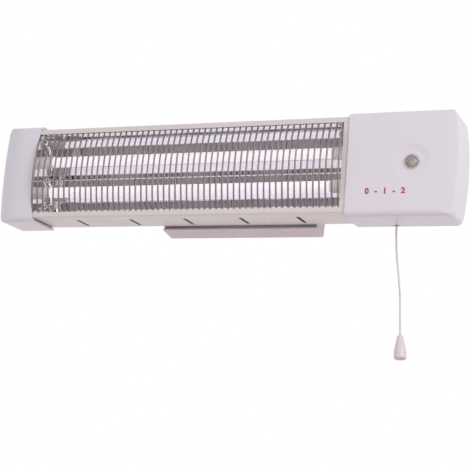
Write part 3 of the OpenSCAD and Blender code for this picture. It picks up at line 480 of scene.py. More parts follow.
# %% Edge mask
edge_group, edge_in, edge_out = new_group(
    "edge_mask",
    [("Radius", "float", 0.0006), ("Gain", "float", 4.0)],
    [("Edge", "float")],
)
bevel = add(edge_group, "ShaderNodeBevel", samples=8)
flat = add(edge_group, "ShaderNodeNewGeometry")
alike = add(edge_group, "ShaderNodeVectorMath", operation="DOT_PRODUCT")
unlike = add(edge_group, "ShaderNodeMath", operation="SUBTRACT")
unlike.inputs[0].default_value = 1
gain = add(edge_group, "ShaderNodeMath", operation="MULTIPLY", use_clamp=True)
join(edge_group, (edge_in, "Radius"), (bevel, "Radius"))
join(edge_group, (bevel, "Normal"), (alike, 0))
join(edge_group, (flat, "Normal"), (alike, 1))
join(edge_group, (alike, "Value"), (unlike, 1))
join(edge_group, (unlike, 0), (gain, 0))
join(edge_group, (edge_in, "Gain"), (gain, 1))
join(edge_group, (gain, 0), (edge_out, "Edge"))
print(edge_group.name, len(edge_group.nodes), "nodes")

# %% Fine grain
grain_group, grain_in, grain_out = new_group(
    "fine_grain",
    [("Coordinate", "vector", None), ("Stretch", "vector", (1, 1, 1)), ("Scale", "float", 900.0)],
    [("Height", "float")],
)
stretch = add(grain_group, "ShaderNodeVectorMath", operation="MULTIPLY")
grain = add(grain_group, "ShaderNodeTexNoise")
grain.inputs["Detail"].default_value = 3
join(grain_group, (grain_in, "Coordinate"), (stretch, 0))
join(grain_group, (grain_in, "Stretch"), (stretch, 1))
join(grain_group, (stretch, 0), (grain, "Vector"))
join(grain_group, (grain_in, "Scale"), (grain, "Scale"))
join(grain_group, (grain, "Fac"), (grain_out, "Height"))
print(grain_group.name, len(grain_group.nodes), "nodes")

# %% Slow patches
patch_group, patch_in, patch_out = new_group(
    "slow_patches",
    [
        ("Coordinate", "vector", None),
        ("Scale", "float", 14.0),
        ("Base", "colour", (0.8, 0.8, 0.8, 1)),
        ("Tint", "colour", (0.75, 0.75, 0.75, 1)),
        ("Low", "float", 0.25),
        ("High", "float", 0.35),
    ],
    [("Color", "colour"), ("Roughness", "float")],
)
cloud = add(patch_group, "ShaderNodeTexNoise")
cloud.inputs["Detail"].default_value = 4
cloud.inputs["Roughness"].default_value = 0.6
spread = add(patch_group, "ShaderNodeMapRange")
spread.inputs["From Min"].default_value = 0.35
spread.inputs["From Max"].default_value = 0.65
shade = add(patch_group, "ShaderNodeMix", data_type="RGBA")
dull = add(patch_group, "ShaderNodeMapRange")
dull.inputs["From Min"].default_value = 0.3
dull.inputs["From Max"].default_value = 0.7
join(patch_group, (patch_in, "Coordinate"), (cloud, "Vector"))
join(patch_group, (patch_in, "Scale"), (cloud, "Scale"))
join(patch_group, (cloud, "Fac"), (spread, "Value"))
join(patch_group, (spread, "Result"), (shade, "Factor"))
join(patch_group, (patch_in, "Base"), (shade, "A"))
join(patch_group, (patch_in, "Tint"), (shade, "B"))
join(patch_group, (shade, "Result"), (patch_out, "Color"))
join(patch_group, (cloud, "Fac"), (dull, "Value"))
join(patch_group, (patch_in, "Low"), (dull, "To Min"))
join(patch_group, (patch_in, "High"), (dull, "To Max"))
join(patch_group, (dull, "Result"), (patch_out, "Roughness"))
print(patch_group.name, len(patch_group.nodes), "nodes")

# %% [markdown]
# One recipe for every finish
#
# Paint, moulded plastic, plated steel and ceramic differ in colour, gloss, grain and in how their edges
# look. A small function lays out the same nodes for all of them and takes those four things as values.
# A number that is the same all over the surface goes straight onto the shader's own socket.
#
# The tubes are switched off, but milky quartz passes on light that falls on it from all round, also from
# the polished trough behind. Only a few of those bounces are followed, so the quartz is given a painted
# glow in their place: a faint emission that stands in for that light, although the tubes are no lamp.

# %% Finish recipe
def place_group(tree, group, coordinate, **values):
    """A node group in a material, fed with object coordinates and its own values."""
    node = add(tree, "ShaderNodeGroup", node_tree=group)
    if coordinate is not None:
        join(tree, coordinate, (node, "Coordinate"))
    for key, value in values.items():
        node.inputs[key].default_value = value
    return node


GRAIN_DEPTH = 0.0002
finishes = {}


def finish(
    name, base, tint, gloss, grain=(1, 1, 1, 900, 0.05), edge=None, patch=14.0, soften=None, **sockets
):
    """A material. gloss is (lowest, highest) roughness, grain is (stretch x, y, z, scale, strength),
    edge is (colour, radius, gain) or None, patch is the scale of the patches, and soften is the radius
    that sharp edges seem to have. Other sockets are named with underscores."""
    mat = bpy.data.materials.new(name)
    mat.use_nodes = True
    tree = mat.node_tree
    shader = tree.nodes["Principled BSDF"]
    coordinate = (add(tree, "ShaderNodeTexCoord"), "Object")
    patches = place_group(
        tree, patch_group, coordinate,
        Scale=patch, Base=(*base, 1), Tint=(*tint, 1), Low=gloss[0], High=gloss[1],
    )
    colour = (patches, "Color")
    if edge is not None:
        mask = place_group(tree, edge_group, None, Radius=edge[1], Gain=edge[2])
        # On most finishes the edge colour is wear; on the white plastic its lighter, warmer tone is a
        # painted highlight.
        edge_wear_and_highlight = add(tree, "ShaderNodeMix", data_type="RGBA")
        edge_wear_and_highlight.inputs["B"].default_value = (*edge[0], 1)
        join(tree, (mask, "Edge"), (edge_wear_and_highlight, "Factor"))
        join(tree, colour, (edge_wear_and_highlight, "A"))
        colour = (edge_wear_and_highlight, "Result")
    join(tree, colour, (shader, "Base Color"))
    join(tree, (patches, "Roughness"), (shader, "Roughness"))
    fine = place_group(tree, grain_group, coordinate, Stretch=grain[:3], Scale=grain[3])
    bump = add(tree, "ShaderNodeBump")
    bump.inputs["Strength"].default_value = grain[4]
    bump.inputs["Distance"].default_value = GRAIN_DEPTH
    join(tree, (fine, "Height"), (bump, "Height"))
    if soften is not None:
        soft_edge = add(tree, "ShaderNodeBevel", samples=8)
        soft_edge.inputs["Radius"].default_value = soften
        join(tree, (soft_edge, "Normal"), (bump, "Normal"))
    join(tree, (bump, "Normal"), (shader, "Normal"))
    for key, value in sockets.items():
        shader.inputs[key.replace("_", " ")].default_value = value
    finishes[name] = mat
    return mat


# %% Paints and plastics
finish(
    "casing_paint", (0.672, 0.617, 0.63), (0.646, 0.592, 0.604), (0.26, 0.38),
    grain=(1, 1, 1, 420, 0.10), edge=((0.69, 0.635, 0.64), 0.0008, 3.0),
)
finish(
    "bracket_paint", (0.637, 0.577, 0.617), (0.602, 0.542, 0.582), (0.30, 0.42),
    grain=(1, 1, 1, 420, 0.12), edge=((0.60, 0.54, 0.54), 0.0008, 3.0),
)
# The white plastic's lighter, warmer edge colour is a painted highlight along its rounded edges.
finish(
    "white_plastic", (0.675, 0.655, 0.743), (0.669, 0.649, 0.736), (0.28, 0.33),
    grain=(1, 1, 1, 1500, 0.03), edge=((0.78, 0.74, 0.74), 0.002, 1.5), soften=0.0015,
)
knob_plastic = finish(
    "knob_plastic", (0.69, 0.63, 0.665), (0.66, 0.60, 0.635), (0.28, 0.40),
    grain=(1, 1, 1, 1200, 0.04), edge=((0.71, 0.66, 0.68), 0.0006, 3.0),
)
finish(
    "cream_plastic", (0.66, 0.63, 0.55), (0.62, 0.59, 0.51), (0.35, 0.5),
    edge=((0.72, 0.7, 0.63), 0.0006, 3.0),
)
finish(
    "black_plastic", (0.022, 0.022, 0.024), (0.03, 0.03, 0.032), (0.35, 0.5),
    edge=((0.07, 0.07, 0.07), 0.0005, 3.0),
)
finish("cam_plastic", (0.30, 0.09, 0.03), (0.26, 0.08, 0.03), (0.3, 0.45))
finish("black_rubber", (0.02, 0.02, 0.02), (0.035, 0.035, 0.035), (0.6, 0.8), grain=(1, 1, 1, 900, 0.3))
finish("brown_sleeve", (0.09, 0.035, 0.015), (0.08, 0.03, 0.012), (0.35, 0.5))
finish("white_sleeve", (0.62, 0.6, 0.55), (0.58, 0.56, 0.5), (0.5, 0.7), grain=(1, 1, 1, 2500, 0.4))
finish("blue_sleeve", (0.02, 0.06, 0.2), (0.02, 0.055, 0.18), (0.35, 0.5))
finish("green_sleeve", (0.05, 0.17, 0.02), (0.045, 0.15, 0.02), (0.35, 0.5))
cord_textile = finish(
    "cord_textile", (0.66, 0.61, 0.62), (0.60, 0.56, 0.57), (0.7, 0.9),
    grain=(1, 1, 1, 3500, 0.5), patch=60, Sheen_Weight=0.4,
)

# %% Metals, ceramic and glass
zinc = finish(
    "zinc", (0.56, 0.57, 0.6), (0.5, 0.5, 0.52), (0.25, 0.42),
    grain=(1, 1, 1, 600, 0.15), edge=((0.75, 0.75, 0.77), 0.0004, 3.0), patch=120, Metallic=1.0,
)
finish(
    "terminal_brass", (0.62, 0.43, 0.17), (0.5, 0.33, 0.13), (0.2, 0.35),
    edge=((0.8, 0.62, 0.3), 0.0004, 3.0), patch=150, Metallic=1.0,
)
guard_chrome = finish(
    "guard_chrome", (0.24, 0.215, 0.23), (0.20, 0.18, 0.19), (0.22, 0.32),
    grain=(1, 1, 0.1, 700, 0.05), patch=60, Metallic=1.0,
)
polished_aluminium = finish(
    "polished_aluminium", (0.96, 0.945, 0.955), (0.93, 0.915, 0.925), (0.03, 0.07),
    grain=(0.02, 1, 1, 1600, 0.02), patch=18, Metallic=1.0,
)
heating_wire = finish(
    "heating_wire", (0.2, 0.17, 0.15), (0.12, 0.10, 0.09), (0.4, 0.6), patch=200, Metallic=1.0
)
finish(
    "tube_ceramic", (0.95, 0.90, 0.94), (0.91, 0.86, 0.90), (0.6, 0.8),
    grain=(1, 1, 1, 1500, 0.25), patch=80,
)
# The quartz's faint emission is a painted glow: light from bounces that are not followed, on tubes that are
# off.
finish(
    "milky_quartz", (0.82, 0.785, 0.835), (0.79, 0.755, 0.805), (0.3, 0.42),
    grain=(0.02, 1, 1, 1200, 0.08), patch=30, Transmission_Weight=0.05, Coat_Weight=0.15,
    Coat_Roughness=0.1, Emission_Color=(0.98, 0.94, 1.0, 1.0), Emission_Strength=0.45,
)
finish(
    "lens_plastic", (0.92, 0.85, 0.84), (0.88, 0.81, 0.80), (0.03, 0.08),
    patch=90, Transmission_Weight=0.8, IOR=1.49,
)
finish(
    "neon_glass", (0.9, 0.75, 0.62), (0.86, 0.68, 0.55), (0.05, 0.12),
    patch=90, Transmission_Weight=0.6,
)
print("finishes:", len(finishes))

# %% [markdown]
# Dress the solids
#
# The record says which finish each solid takes. A solid keeps its mesh: only the material in its slots
# is changed. The moulded knob has a warmer plastic than the two ends.

# %% Dress the solids
for part in frame["record"]["subparts"]:
    solid = nodes[part["node"]]
    skin = knob_plastic if part["node"] == "pull_knob" else finishes[part["material_slot"]]
    for slot in solid.material_slots:
        slot.material = skin
cord.data.materials.append(cord_textile)
knob.data.materials.append(knob_plastic)

# %% [markdown]
# The wire guard
#
# Fifty or so thin wires stand side by side, each with straight ends behind the casing's lips and a
# shallow bow between them, welded to two long rails. They are all the same and evenly spaced, so this
# is work for Geometry Nodes: one wire is bent from a straight line, the row of wires is made by
# instancing it on a line of points, and a flattened bead marks each weld. The bow is part of a circle,
# so the height along the wire gives how far it stands forward.

# %% Node tree helpers
def new_tree(name, inputs):
    """A geometry tree with named inputs, and its input and output nodes."""
    kinds = {"float": "NodeSocketFloat", "int": "NodeSocketInt", "material": "NodeSocketMaterial"}
    tree = bpy.data.node_groups.new(name, "GeometryNodeTree")
    tree.interface.new_socket("Geometry", in_out="INPUT", socket_type="NodeSocketGeometry")
    for title, kind in inputs:
        tree.interface.new_socket(title, in_out="INPUT", socket_type=kinds[kind])
    tree.interface.new_socket("Geometry", in_out="OUTPUT", socket_type="NodeSocketGeometry")
    return tree, tree.nodes.new("NodeGroupInput"), tree.nodes.new("NodeGroupOutput")


def grow(name, tree, values, matrix, seed_mesh=None):
    """Runs a geometry tree with its named inputs set, and returns the plain mesh it makes."""
    seed = bpy.data.objects.new(name + "_seed", seed_mesh or bpy.data.meshes.new(name + "_seed"))
    scene.collection.objects.link(seed)
    modifier = seed.modifiers.new(name, "NODES")
    modifier.node_group = tree
    for item in tree.interface.items_tree:
        if item.in_out == "INPUT" and item.name in values:
            modifier[item.identifier] = values[item.name]
    shape = seed.evaluated_get(bpy.context.evaluated_depsgraph_get())
    mesh = bpy.data.meshes.new_from_object(shape)
    mesh.name = name
    bpy.data.objects.remove(seed)
    mesh.transform(matrix)
    return mesh


def calc(tree, operation, *values):
    """A math node. A value is a number or a (node, output) pair."""
    node = add(tree, "ShaderNodeMath", operation=operation)
    for i, value in enumerate(values):
        if isinstance(value, tuple):
            join(tree, value, (node, i))
        else:
            node.inputs[i].default_value = value
    return (node, 0)


def vector(tree, x=0.0, y=0.0, z=0.0):
    """A vector made of numbers or (node, output) pairs."""
    node = add(tree, "ShaderNodeCombineXYZ")
    for i, value in enumerate((x, y, z)):
        if isinstance(value, tuple):
            join(tree, value, (node, i))
        else:
            node.inputs[i].default_value = value
    return (node, 0)


def rod(tree, line, radius, sides):
    """A round rod along a curve, with closed ends."""
    ring = add(tree, "GeometryNodeCurvePrimitiveCircle")
    ring.inputs["Resolution"].default_value = sides
    join(tree, radius, (ring, "Radius"))
    sweep = add(tree, "GeometryNodeCurveToMesh")
    sweep.inputs["Fill Caps"].default_value = True
    join(tree, line, (sweep, "Curve"))
    join(tree, (ring, "Curve"), (sweep, "Profile Curve"))
    return (sweep, "Mesh")


def end_tree(tree, geometry, material, out):
    """Realizes what a tree made, gives it its material and puts it out."""
    real = add(tree, "GeometryNodeRealizeInstances")
    paint = add(tree, "GeometryNodeSetMaterial")
    join(tree, geometry, (real, 0))
    join(tree, (real, 0), (paint, "Geometry"))
    join(tree, material, (paint, "Material"))
    join(tree, (paint, "Geometry"), (out, 0))


# %% Guard tree
WIRE_POINTS, WIRE_SIDES, RAIL_SIDES = 48, 10, 14
BEAD_SIZE = 1.25
BEAD_STRETCH = (1.0, 0.5, 1.3)
guard_tree, guard_in, guard_out = new_tree("wire_guard", [
    ("Count", "int"), ("First X", "float"), ("Pitch", "float"), ("Wire Radius", "float"),
    ("Front Y", "float"), ("Bow", "float"), ("Bend Height", "float"), ("End Height", "float"),
    ("Rail Radius", "float"), ("Rail Y", "float"), ("Rail Height", "float"), ("Rail Start", "float"),
    ("Rail End", "float"), ("Material", "material"),
])
straight = add(guard_tree, "GeometryNodeCurvePrimitiveLine")
low_end = calc(guard_tree, "MULTIPLY", (guard_in, "End Height"), -1.0)
join(guard_tree, vector(guard_tree, z=low_end), (straight, "Start"))
join(guard_tree, vector(guard_tree, z=(guard_in, "End Height")), (straight, "End"))
fine_line = add(guard_tree, "GeometryNodeResampleCurve")
fine_line.inputs["Count"].default_value = WIRE_POINTS
join(guard_tree, (straight, "Curve"), (fine_line, "Curve"))
where = add(guard_tree, "GeometryNodeInputPosition")
parts = add(guard_tree, "ShaderNodeSeparateXYZ")
join(guard_tree, (where, "Position"), (parts, 0))
off_middle = calc(guard_tree, "ABSOLUTE", (parts, "Z"))
height = calc(guard_tree, "MINIMUM", off_middle, (guard_in, "Bend Height"))
bend_square = calc(guard_tree, "POWER", (guard_in, "Bend Height"), 2.0)
bow_square = calc(guard_tree, "POWER", (guard_in, "Bow"), 2.0)
square_sum = calc(guard_tree, "ADD", bend_square, bow_square)
bend_radius = calc(guard_tree, "DIVIDE", square_sum, calc(guard_tree, "MULTIPLY", (guard_in, "Bow"), 2.0))
radius_square = calc(guard_tree, "POWER", bend_radius, 2.0)
height_square = calc(guard_tree, "POWER", height, 2.0)
root = calc(guard_tree, "SQRT", calc(guard_tree, "SUBTRACT", radius_square, height_square))
back_step = calc(guard_tree, "SUBTRACT", bend_radius, root)
forward = calc(guard_tree, "SUBTRACT", back_step, (guard_in, "Bow"))
bend = add(guard_tree, "GeometryNodeSetPosition")
join(guard_tree, (fine_line, "Curve"), (bend, "Geometry"))
wire_y = calc(guard_tree, "ADD", forward, (guard_in, "Front Y"))
join(guard_tree, vector(guard_tree, y=wire_y), (bend, "Offset"))

# %% Guard rows and welds
stations = add(guard_tree, "GeometryNodeMeshLine")
join(guard_tree, (guard_in, "Count"), (stations, "Count"))
join(guard_tree, vector(guard_tree, x=(guard_in, "First X")), (stations, "Start Location"))
step_left = calc(guard_tree, "MULTIPLY", (guard_in, "Pitch"), -1.0)
join(guard_tree, vector(guard_tree, x=step_left), (stations, "Offset"))
wires = add(guard_tree, "GeometryNodeInstanceOnPoints")
join(guard_tree, (stations, "Mesh"), (wires, "Points"))
one_wire = rod(guard_tree, (bend, "Geometry"), (guard_in, "Wire Radius"), WIRE_SIDES)
join(guard_tree, one_wire, (wires, "Instance"))
everything = add(guard_tree, "GeometryNodeJoinGeometry")
join(guard_tree, (wires, "Instances"), (everything, 0))
for side in (-1.0, 1.0):
    rail_z = calc(guard_tree, "MULTIPLY", (guard_in, "Rail Height"), side)
    rail = add(guard_tree, "GeometryNodeCurvePrimitiveLine")
    for title, end in (("Rail Start", "Start"), ("Rail End", "End")):
        rail_end = vector(guard_tree, x=(guard_in, title), y=(guard_in, "Rail Y"), z=rail_z)
        join(guard_tree, rail_end, (rail, end))
    one_rail = rod(guard_tree, (rail, "Curve"), (guard_in, "Rail Radius"), RAIL_SIDES)
    join(guard_tree, one_rail, (everything, 0))
    bead = add(guard_tree, "GeometryNodeMeshIcoSphere")
    bead.inputs["Subdivisions"].default_value = 2
    bead_radius = calc(guard_tree, "MULTIPLY", (guard_in, "Wire Radius"), BEAD_SIZE)
    join(guard_tree, bead_radius, (bead, "Radius"))
    seat = add(guard_tree, "GeometryNodeTransform")
    weld_y = calc(guard_tree, "SUBTRACT", (guard_in, "Rail Y"), (guard_in, "Rail Radius"))
    join(guard_tree, (bead, "Mesh"), (seat, "Geometry"))
    join(guard_tree, vector(guard_tree, y=weld_y, z=rail_z), (seat, "Translation"))
    seat.inputs["Scale"].default_value = BEAD_STRETCH
    beads = add(guard_tree, "GeometryNodeInstanceOnPoints")
    join(guard_tree, (stations, "Mesh"), (beads, "Points"))
    join(guard_tree, (seat, "Geometry"), (beads, "Instance"))
    join(guard_tree, (beads, "Instances"), (everything, 0))
end_tree(guard_tree, (everything, 0), (guard_in, "Material"), guard_out)
print("guard tree nodes:", len(guard_tree.nodes))

# %% Guard piece
OPEN_LEFT = -224.5 * MM
OPEN_RIGHT = 144.5 * MM
OPEN_HALF_HEIGHT = 45.75 * MM
WIRE_PITCH = 6.84 * MM
WIRE_EDGE_GAP = 1.1 * MM
WIRE_COUNT = 1 + int((OPEN_RIGHT - OPEN_LEFT - 2 * WIRE_EDGE_GAP) / WIRE_PITCH)
guard_mesh = grow("guard_wires", guard_tree, {
    "Count": WIRE_COUNT,
    "First X": OPEN_RIGHT - WIRE_EDGE_GAP,
    "Pitch": WIRE_PITCH,
    "Wire Radius": 0.95 * MM,
    "Front Y": 3.55 * MM,
    "Bow": 8.5 * MM,
    "Bend Height": OPEN_HALF_HEIGHT + 0.2 * MM,
    "End Height": 49.5 * MM,
    "Rail Radius": 1.25 * MM,
    "Rail Y": 5.45 * MM,
    "Rail Height": 48 * MM,
    "Rail Start": OPEN_LEFT + 0.7 * MM,
    "Rail End": OPEN_RIGHT - 0.7 * MM,
    "Material": guard_chrome,
}, heater_to_part)
guard = new_piece("guard_wires", guard_mesh)
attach(guard, "heater")
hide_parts("wire_guard")
print("guard:", WIRE_COUNT, "wires,", len(guard_mesh.polygons), "faces")

# %% [markdown]
# The reflector
#
# The reflector is one thin polished sheet, rolled into a trough behind each tube with a ridge between
# the two. Rolled sheet is never quite flat: it carries slow waves along its length, and these are what
# break the reflections of the tubes into soft streaks. The profile is given as bend points, each bend
# is rounded, and the sheet is laid out as a grid whose front is nudged by a fraction of a millimetre:
# by a long wave and a short one that cross each other.

# %% Reflector sheet
MIRROR_LEFT, MIRROR_RIGHT = -223.8, 143.8
SHEET = 0.6
BEND_RADIUS, BEND_SHOULDER = 0.9, 0.25
SHEET_STEPS = 72
LONG_WAVE, SHORT_WAVE = 0.05, 0.04
LONG_STEPS, SHORT_STEPS, SHORT_START = (19, 9), (7.3, 5), 1.3
half_profile = [(7.1, 50.6), (7.1, 46.25), (20, 42), (31, 34), (35.5, 30.5), (43.5, 23.7), (43.5, 8)]
profile = half_profile + [(33.5, 0.0)] + [(y, -z) for y, z in reversed(half_profile)]
sheet_line = rounded(profile, BEND_RADIUS, BEND_SHOULDER)
verts = []
for j in range(SHEET_STEPS + 1):
    x = MIRROR_LEFT + (MIRROR_RIGHT - MIRROR_LEFT) * j / SHEET_STEPS
    for i, p in enumerate(sheet_line):
        ahead = sheet_line[min(i + 1, len(sheet_line) - 1)] - sheet_line[max(i - 1, 0)]
        normal = Vector((-ahead.y, ahead.x)).normalized()
        inner = 0 if i in (0, len(sheet_line) - 1) else 1
        long_turn = x / LONG_STEPS[0] + p.y / LONG_STEPS[1]
        short_turn = x / SHORT_STEPS[0] - p.y / SHORT_STEPS[1] + SHORT_START
        wave = LONG_WAVE * math.sin(long_turn) + SHORT_WAVE * math.sin(short_turn)
        front = p - normal * inner * (LONG_WAVE + SHORT_WAVE - wave) * 0.5
        verts.append(place(x, *front))
        verts.append(place(x, *(p + normal * SHEET)))
print("reflector points", len(verts))

# %% Reflector piece
ROW = 2 * len(sheet_line)
faces = []
for j in range(SHEET_STEPS):
    for i in range(len(sheet_line) - 1):
        a, b = j * ROW + 2 * i, (j + 1) * ROW + 2 * i
        faces.append((a, b, b + 2, a + 2))
        faces.append((a + 1, a + 3, b + 3, b + 1))
    for k in (0, ROW - 2):
        a, b = j * ROW + k, (j + 1) * ROW + k
        faces.append((a, a + 1, b + 1, b))
for row in (0, SHEET_STEPS * ROW):
    for i in range(len(sheet_line) - 1):
        a = row + 2 * i
        faces.append((a, a + 2, a + 3, a + 1))
reflector_mesh = closed_mesh("reflector_sheet", verts, faces)
reflector_mesh.materials.append(polished_aluminium)
reflector = new_piece("reflector_sheet", reflector_mesh)
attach(reflector, "heater")
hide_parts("reflector")
print("reflector faces", len(faces))

# %% [markdown]
# The heating coils
#
# A coil is a spiral swept with a thin round wire, with a straight tail at both ends. The same tree
# makes both coils: only the height of the tube differs.

# %% Coil tree
TURN_POINTS, COIL_WIRE_SIDES, TAIL_SIDES = 12, 6, 10
coil_tree, coil_in, coil_out = new_tree("heating_coil", [
    ("Turns", "float"), ("Coil Radius", "float"), ("Wire Radius", "float"), ("Start X", "float"),
    ("Length", "float"), ("Tail", "float"), ("Depth", "float"), ("Height", "float"),
    ("Material", "material"),
])
spiral = add(coil_tree, "GeometryNodeCurveSpiral")
spiral.inputs["Resolution"].default_value = TURN_POINTS
join(coil_tree, (coil_in, "Turns"), (spiral, "Rotations"))
join(coil_tree, (coil_in, "Coil Radius"), (spiral, "Start Radius"))
join(coil_tree, (coil_in, "Coil Radius"), (spiral, "End Radius"))
join(coil_tree, (coil_in, "Length"), (spiral, "Height"))
lay = add(coil_tree, "GeometryNodeTransform")
lay.inputs["Rotation"].default_value = (0, math.pi / 2, 0)
wound_wire = rod(coil_tree, (spiral, "Curve"), (coil_in, "Wire Radius"), COIL_WIRE_SIDES)
coil_start = vector(coil_tree, x=(coil_in, "Start X"), y=(coil_in, "Depth"), z=(coil_in, "Height"))
join(coil_tree, wound_wire, (lay, "Geometry"))
join(coil_tree, coil_start, (lay, "Translation"))
coil_parts = add(coil_tree, "GeometryNodeJoinGeometry")
join(coil_tree, (lay, "Geometry"), (coil_parts, 0))
coil_end = calc(coil_tree, "ADD", (coil_in, "Start X"), (coil_in, "Length"))
for near, far in (
    ((coil_in, "Start X"), calc(coil_tree, "SUBTRACT", (coil_in, "Start X"), (coil_in, "Tail"))),
    (coil_end, calc(coil_tree, "ADD", coil_end, (coil_in, "Tail"))),
):
    tail = add(coil_tree, "GeometryNodeCurvePrimitiveLine")
    join(coil_tree, vector(coil_tree, x=near, y=(coil_in, "Depth"), z=(coil_in, "Height")), (tail, "Start"))
    join(coil_tree, vector(coil_tree, x=far, y=(coil_in, "Depth"), z=(coil_in, "Height")), (tail, "End"))
    thick = calc(coil_tree, "MULTIPLY", (coil_in, "Wire Radius"), 2.0)
    join(coil_tree, rod(coil_tree, (tail, "Curve"), thick, TAIL_SIDES), (coil_parts, 0))
end_tree(coil_tree, (coil_parts, 0), (coil_in, "Material"), coil_out)
print("coil tree nodes:", len(coil_tree.nodes))

# %% Coil pieces
TUBE_DEPTH, TUBE_HEIGHT = 21.5, 18
for name, solid, height in (
    ("upper_coil_wire", "upper_heating_coil", TUBE_HEIGHT),
    ("lower_coil_wire", "lower_heating_coil", -TUBE_HEIGHT),
):
    coil_mesh = grow(name, coil_tree, {
        "Turns": 165.0, "Coil Radius": 2.8 * MM, "Wire Radius": 0.4 * MM, "Start X": -211.4 * MM,
        "Length": 342.9 * MM, "Tail": 9.4 * MM, "Depth": TUBE_DEPTH * MM, "Height": height * MM,
        "Material": heating_wire,
    }, heater_to_part)
    coil = new_piece(name, coil_mesh)
    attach(coil, "heater")
    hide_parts(solid)
    print(name, len(coil_mesh.polygons), "faces")

# %% [markdown]
# The screws at the back
#
# The two moulded ends are held by pan-head screws through the casing's back. One screw is made from a
# cylinder, rounded by cutting it with a ball, with a cross-shaped recess cut out of it, and it is set
# at each of the points it is given. The ball and the recess are sized as shares of the head. The recess
# of every screw is turned a little differently.

# %% Screw head
HEAD_SIDES, DOME_RINGS = 40, 28
DOME_RADIUS = 1.5
RECESS_LONG, RECESS_WIDE, RECESS_TALL = 1.15, 0.26, 1.3
screw_tree, screw_in, screw_out = new_tree("pan_screw", [
    ("Head Radius", "float"), ("Head Height", "float"), ("Shank Radius", "float"),
    ("Shank Length", "float"), ("Material", "material"),
])
half_head = calc(screw_tree, "DIVIDE", (screw_in, "Head Height"), 2.0)
slug = add(screw_tree, "GeometryNodeMeshCylinder")
slug.inputs["Vertices"].default_value = HEAD_SIDES
join(screw_tree, (screw_in, "Head Radius"), (slug, "Radius"))
join(screw_tree, (screw_in, "Head Height"), (slug, "Depth"))
raise_slug = add(screw_tree, "GeometryNodeTransform")
join(screw_tree, (slug, "Mesh"), (raise_slug, "Geometry"))
join(screw_tree, vector(screw_tree, z=half_head), (raise_slug, "Translation"))
ball = add(screw_tree, "GeometryNodeMeshUVSphere")
ball.inputs["Segments"].default_value = HEAD_SIDES
ball.inputs["Rings"].default_value = DOME_RINGS
ball_radius = calc(screw_tree, "MULTIPLY", (screw_in, "Head Radius"), DOME_RADIUS)
join(screw_tree, ball_radius, (ball, "Radius"))
drop_ball = add(screw_tree, "GeometryNodeTransform")
join(screw_tree, (ball, "Mesh"), (drop_ball, "Geometry"))
ball_z = calc(screw_tree, "SUBTRACT", (screw_in, "Head Height"), ball_radius)
join(screw_tree, vector(screw_tree, z=ball_z), (drop_ball, "Translation"))
dome = add(screw_tree, "GeometryNodeMeshBoolean", operation="INTERSECT", solver="EXACT")
join(screw_tree, (raise_slug, "Geometry"), (dome, "Mesh 2"))
join(screw_tree, (drop_ball, "Geometry"), (dome, "Mesh 2"))
cross = add(screw_tree, "GeometryNodeMeshBoolean", operation="DIFFERENCE", solver="EXACT")
join(screw_tree, (dome, "Mesh"), (cross, "Mesh 1"))
for across, along in ((RECESS_LONG, RECESS_WIDE), (RECESS_WIDE, RECESS_LONG)):
    bar = add(screw_tree, "GeometryNodeMeshCube")
    join(screw_tree, vector(
        screw_tree,
        x=calc(screw_tree, "MULTIPLY", (screw_in, "Head Radius"), across),
        y=calc(screw_tree, "MULTIPLY", (screw_in, "Head Radius"), along),
        z=calc(screw_tree, "MULTIPLY", (screw_in, "Head Height"), RECESS_TALL),
    ), (bar, "Size"))
    lift = add(screw_tree, "GeometryNodeTransform")
    join(screw_tree, (bar, "Mesh"), (lift, "Geometry"))
    join(screw_tree, vector(screw_tree, z=(screw_in, "Head Height")), (lift, "Translation"))
    join(screw_tree, (lift, "Geometry"), (cross, "Mesh 2"))
print("head nodes:", len(screw_tree.nodes))

# %% Screw shank and places
SHANK_SIDES = 24
SHANK_MIDDLE = -0.499
TURN_STEP = 0.7
shank = add(screw_tree, "GeometryNodeMeshCylinder")
shank.inputs["Vertices"].default_value = SHANK_SIDES
join(screw_tree, (screw_in, "Shank Radius"), (shank, "Radius"))
join(screw_tree, (screw_in, "Shank Length"), (shank, "Depth"))
sink = add(screw_tree, "GeometryNodeTransform")
join(screw_tree, (shank, "Mesh"), (sink, "Geometry"))
shank_z = calc(screw_tree, "MULTIPLY", (screw_in, "Shank Length"), SHANK_MIDDLE)
join(screw_tree, vector(screw_tree, z=shank_z), (sink, "Translation"))
whole = add(screw_tree, "GeometryNodeJoinGeometry")
join(screw_tree, (cross, "Mesh"), (whole, 0))
join(screw_tree, (sink, "Geometry"), (whole, 0))
upright = add(screw_tree, "GeometryNodeTransform")
upright.inputs["Rotation"].default_value = (-math.pi / 2, 0, 0)
join(screw_tree, (whole, 0), (upright, "Geometry"))
number = add(screw_tree, "GeometryNodeInputIndex")
own_turn = calc(screw_tree, "MULTIPLY", (number, "Index"), TURN_STEP)
screws = add(screw_tree, "GeometryNodeInstanceOnPoints")
join(screw_tree, (screw_in, "Geometry"), (screws, "Points"))
join(screw_tree, (upright, "Geometry"), (screws, "Instance"))
join(screw_tree, vector(screw_tree, y=own_turn), (screws, "Rotation"))
end_tree(screw_tree, (screws, "Instances"), (screw_in, "Material"), screw_out)
print("screw tree nodes:", len(screw_tree.nodes))

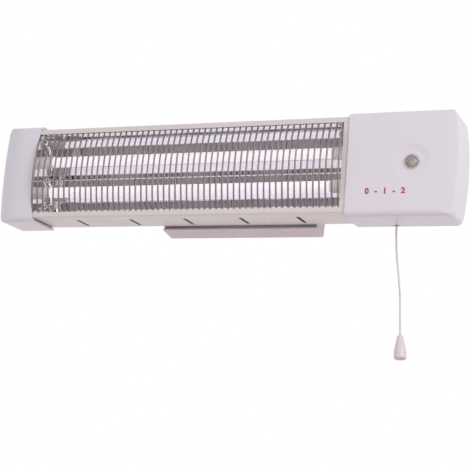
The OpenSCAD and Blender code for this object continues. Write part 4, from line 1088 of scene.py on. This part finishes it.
# %% Screw pieces
BACK_Y = 52
LARGE_SCREW = (3.5, 2.2, 1.75)
SMALL_SCREW = (3.0, 1.8, 1.5)
COVER_SPOTS = [(162.5, -40), (162.5, 40), (240.5, -40), (240.5, 40)]
screw_sets = [
    ("cap_screw_heads", "cap_screws", [(-240, -34), (-240, 34)], LARGE_SCREW, 13.0),
    ("cover_screw_heads", "cover_screws", COVER_SPOTS, LARGE_SCREW, 11.0),
    ("switch_screw_heads", "switch_screws", [(185, -28), (204, -28)], SMALL_SCREW, 8.0),
]
for name, solid, spots, (head_r, head_h, shank_r), shank_l in screw_sets:
    points = bpy.data.meshes.new(name + "_points")
    points.from_pydata([Vector((x, BACK_Y, z)) * MM for x, z in spots], [], [])
    screw_mesh = grow(name, screw_tree, {
        "Head Radius": head_r * MM, "Head Height": head_h * MM, "Shank Radius": shank_r * MM,
        "Shank Length": shank_l * MM, "Material": zinc,
    }, heater_to_part, points)
    heads = new_piece(name, screw_mesh, smooth=False)
    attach(heads, "heater")
    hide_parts(solid)
    print(name, len(spots), "screws,", len(screw_mesh.polygons), "faces")

# %% [markdown]
# Plain numbers on the cover
#
# The control cover carries a plain row of red numbers, one for each of the switch's three steps. They
# are printed as a film a few hundredths of a millimetre thick.

# %% Printed numbers
NUMBERS_PLACE = (193, -0.02, -30)
NUMBER_SIZE = 8.4 * MM
HALF_FILM = 0.03 * MM
STROKE_GROWTH = 0.42 * MM
NUMBER_SPACING = 1.45
red_ink = finish("red_ink", (0.42, 0.05, 0.06), (0.36, 0.04, 0.05), (0.3, 0.45))
curve = bpy.data.curves.new("numbers", "FONT")
curve.body = "0 - 1 - 2"
curve.size = NUMBER_SIZE
curve.extrude = HALF_FILM
curve.offset = STROKE_GROWTH
curve.space_character = NUMBER_SPACING
curve.align_x = "CENTER"
curve.align_y = "CENTER"
writing = bpy.data.objects.new("numbers", curve)
scene.collection.objects.link(writing)
finished_writing = writing.evaluated_get(bpy.context.evaluated_depsgraph_get())
numbers_mesh = bpy.data.meshes.new_from_object(finished_writing)
numbers_mesh.name = "printed_numbers"
bpy.data.objects.remove(writing)
lay_on = Matrix.Translation(Vector(NUMBERS_PLACE) * MM) @ Matrix.Rotation(math.pi / 2, 4, "X")
numbers_mesh.transform(heater_to_part @ lay_on)
numbers_mesh.materials.clear()
numbers_mesh.materials.append(red_ink)
numbers = new_piece("printed_numbers", numbers_mesh, smooth=False)
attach(numbers, "heater")
print("numbers", len(numbers_mesh.polygons), "faces")
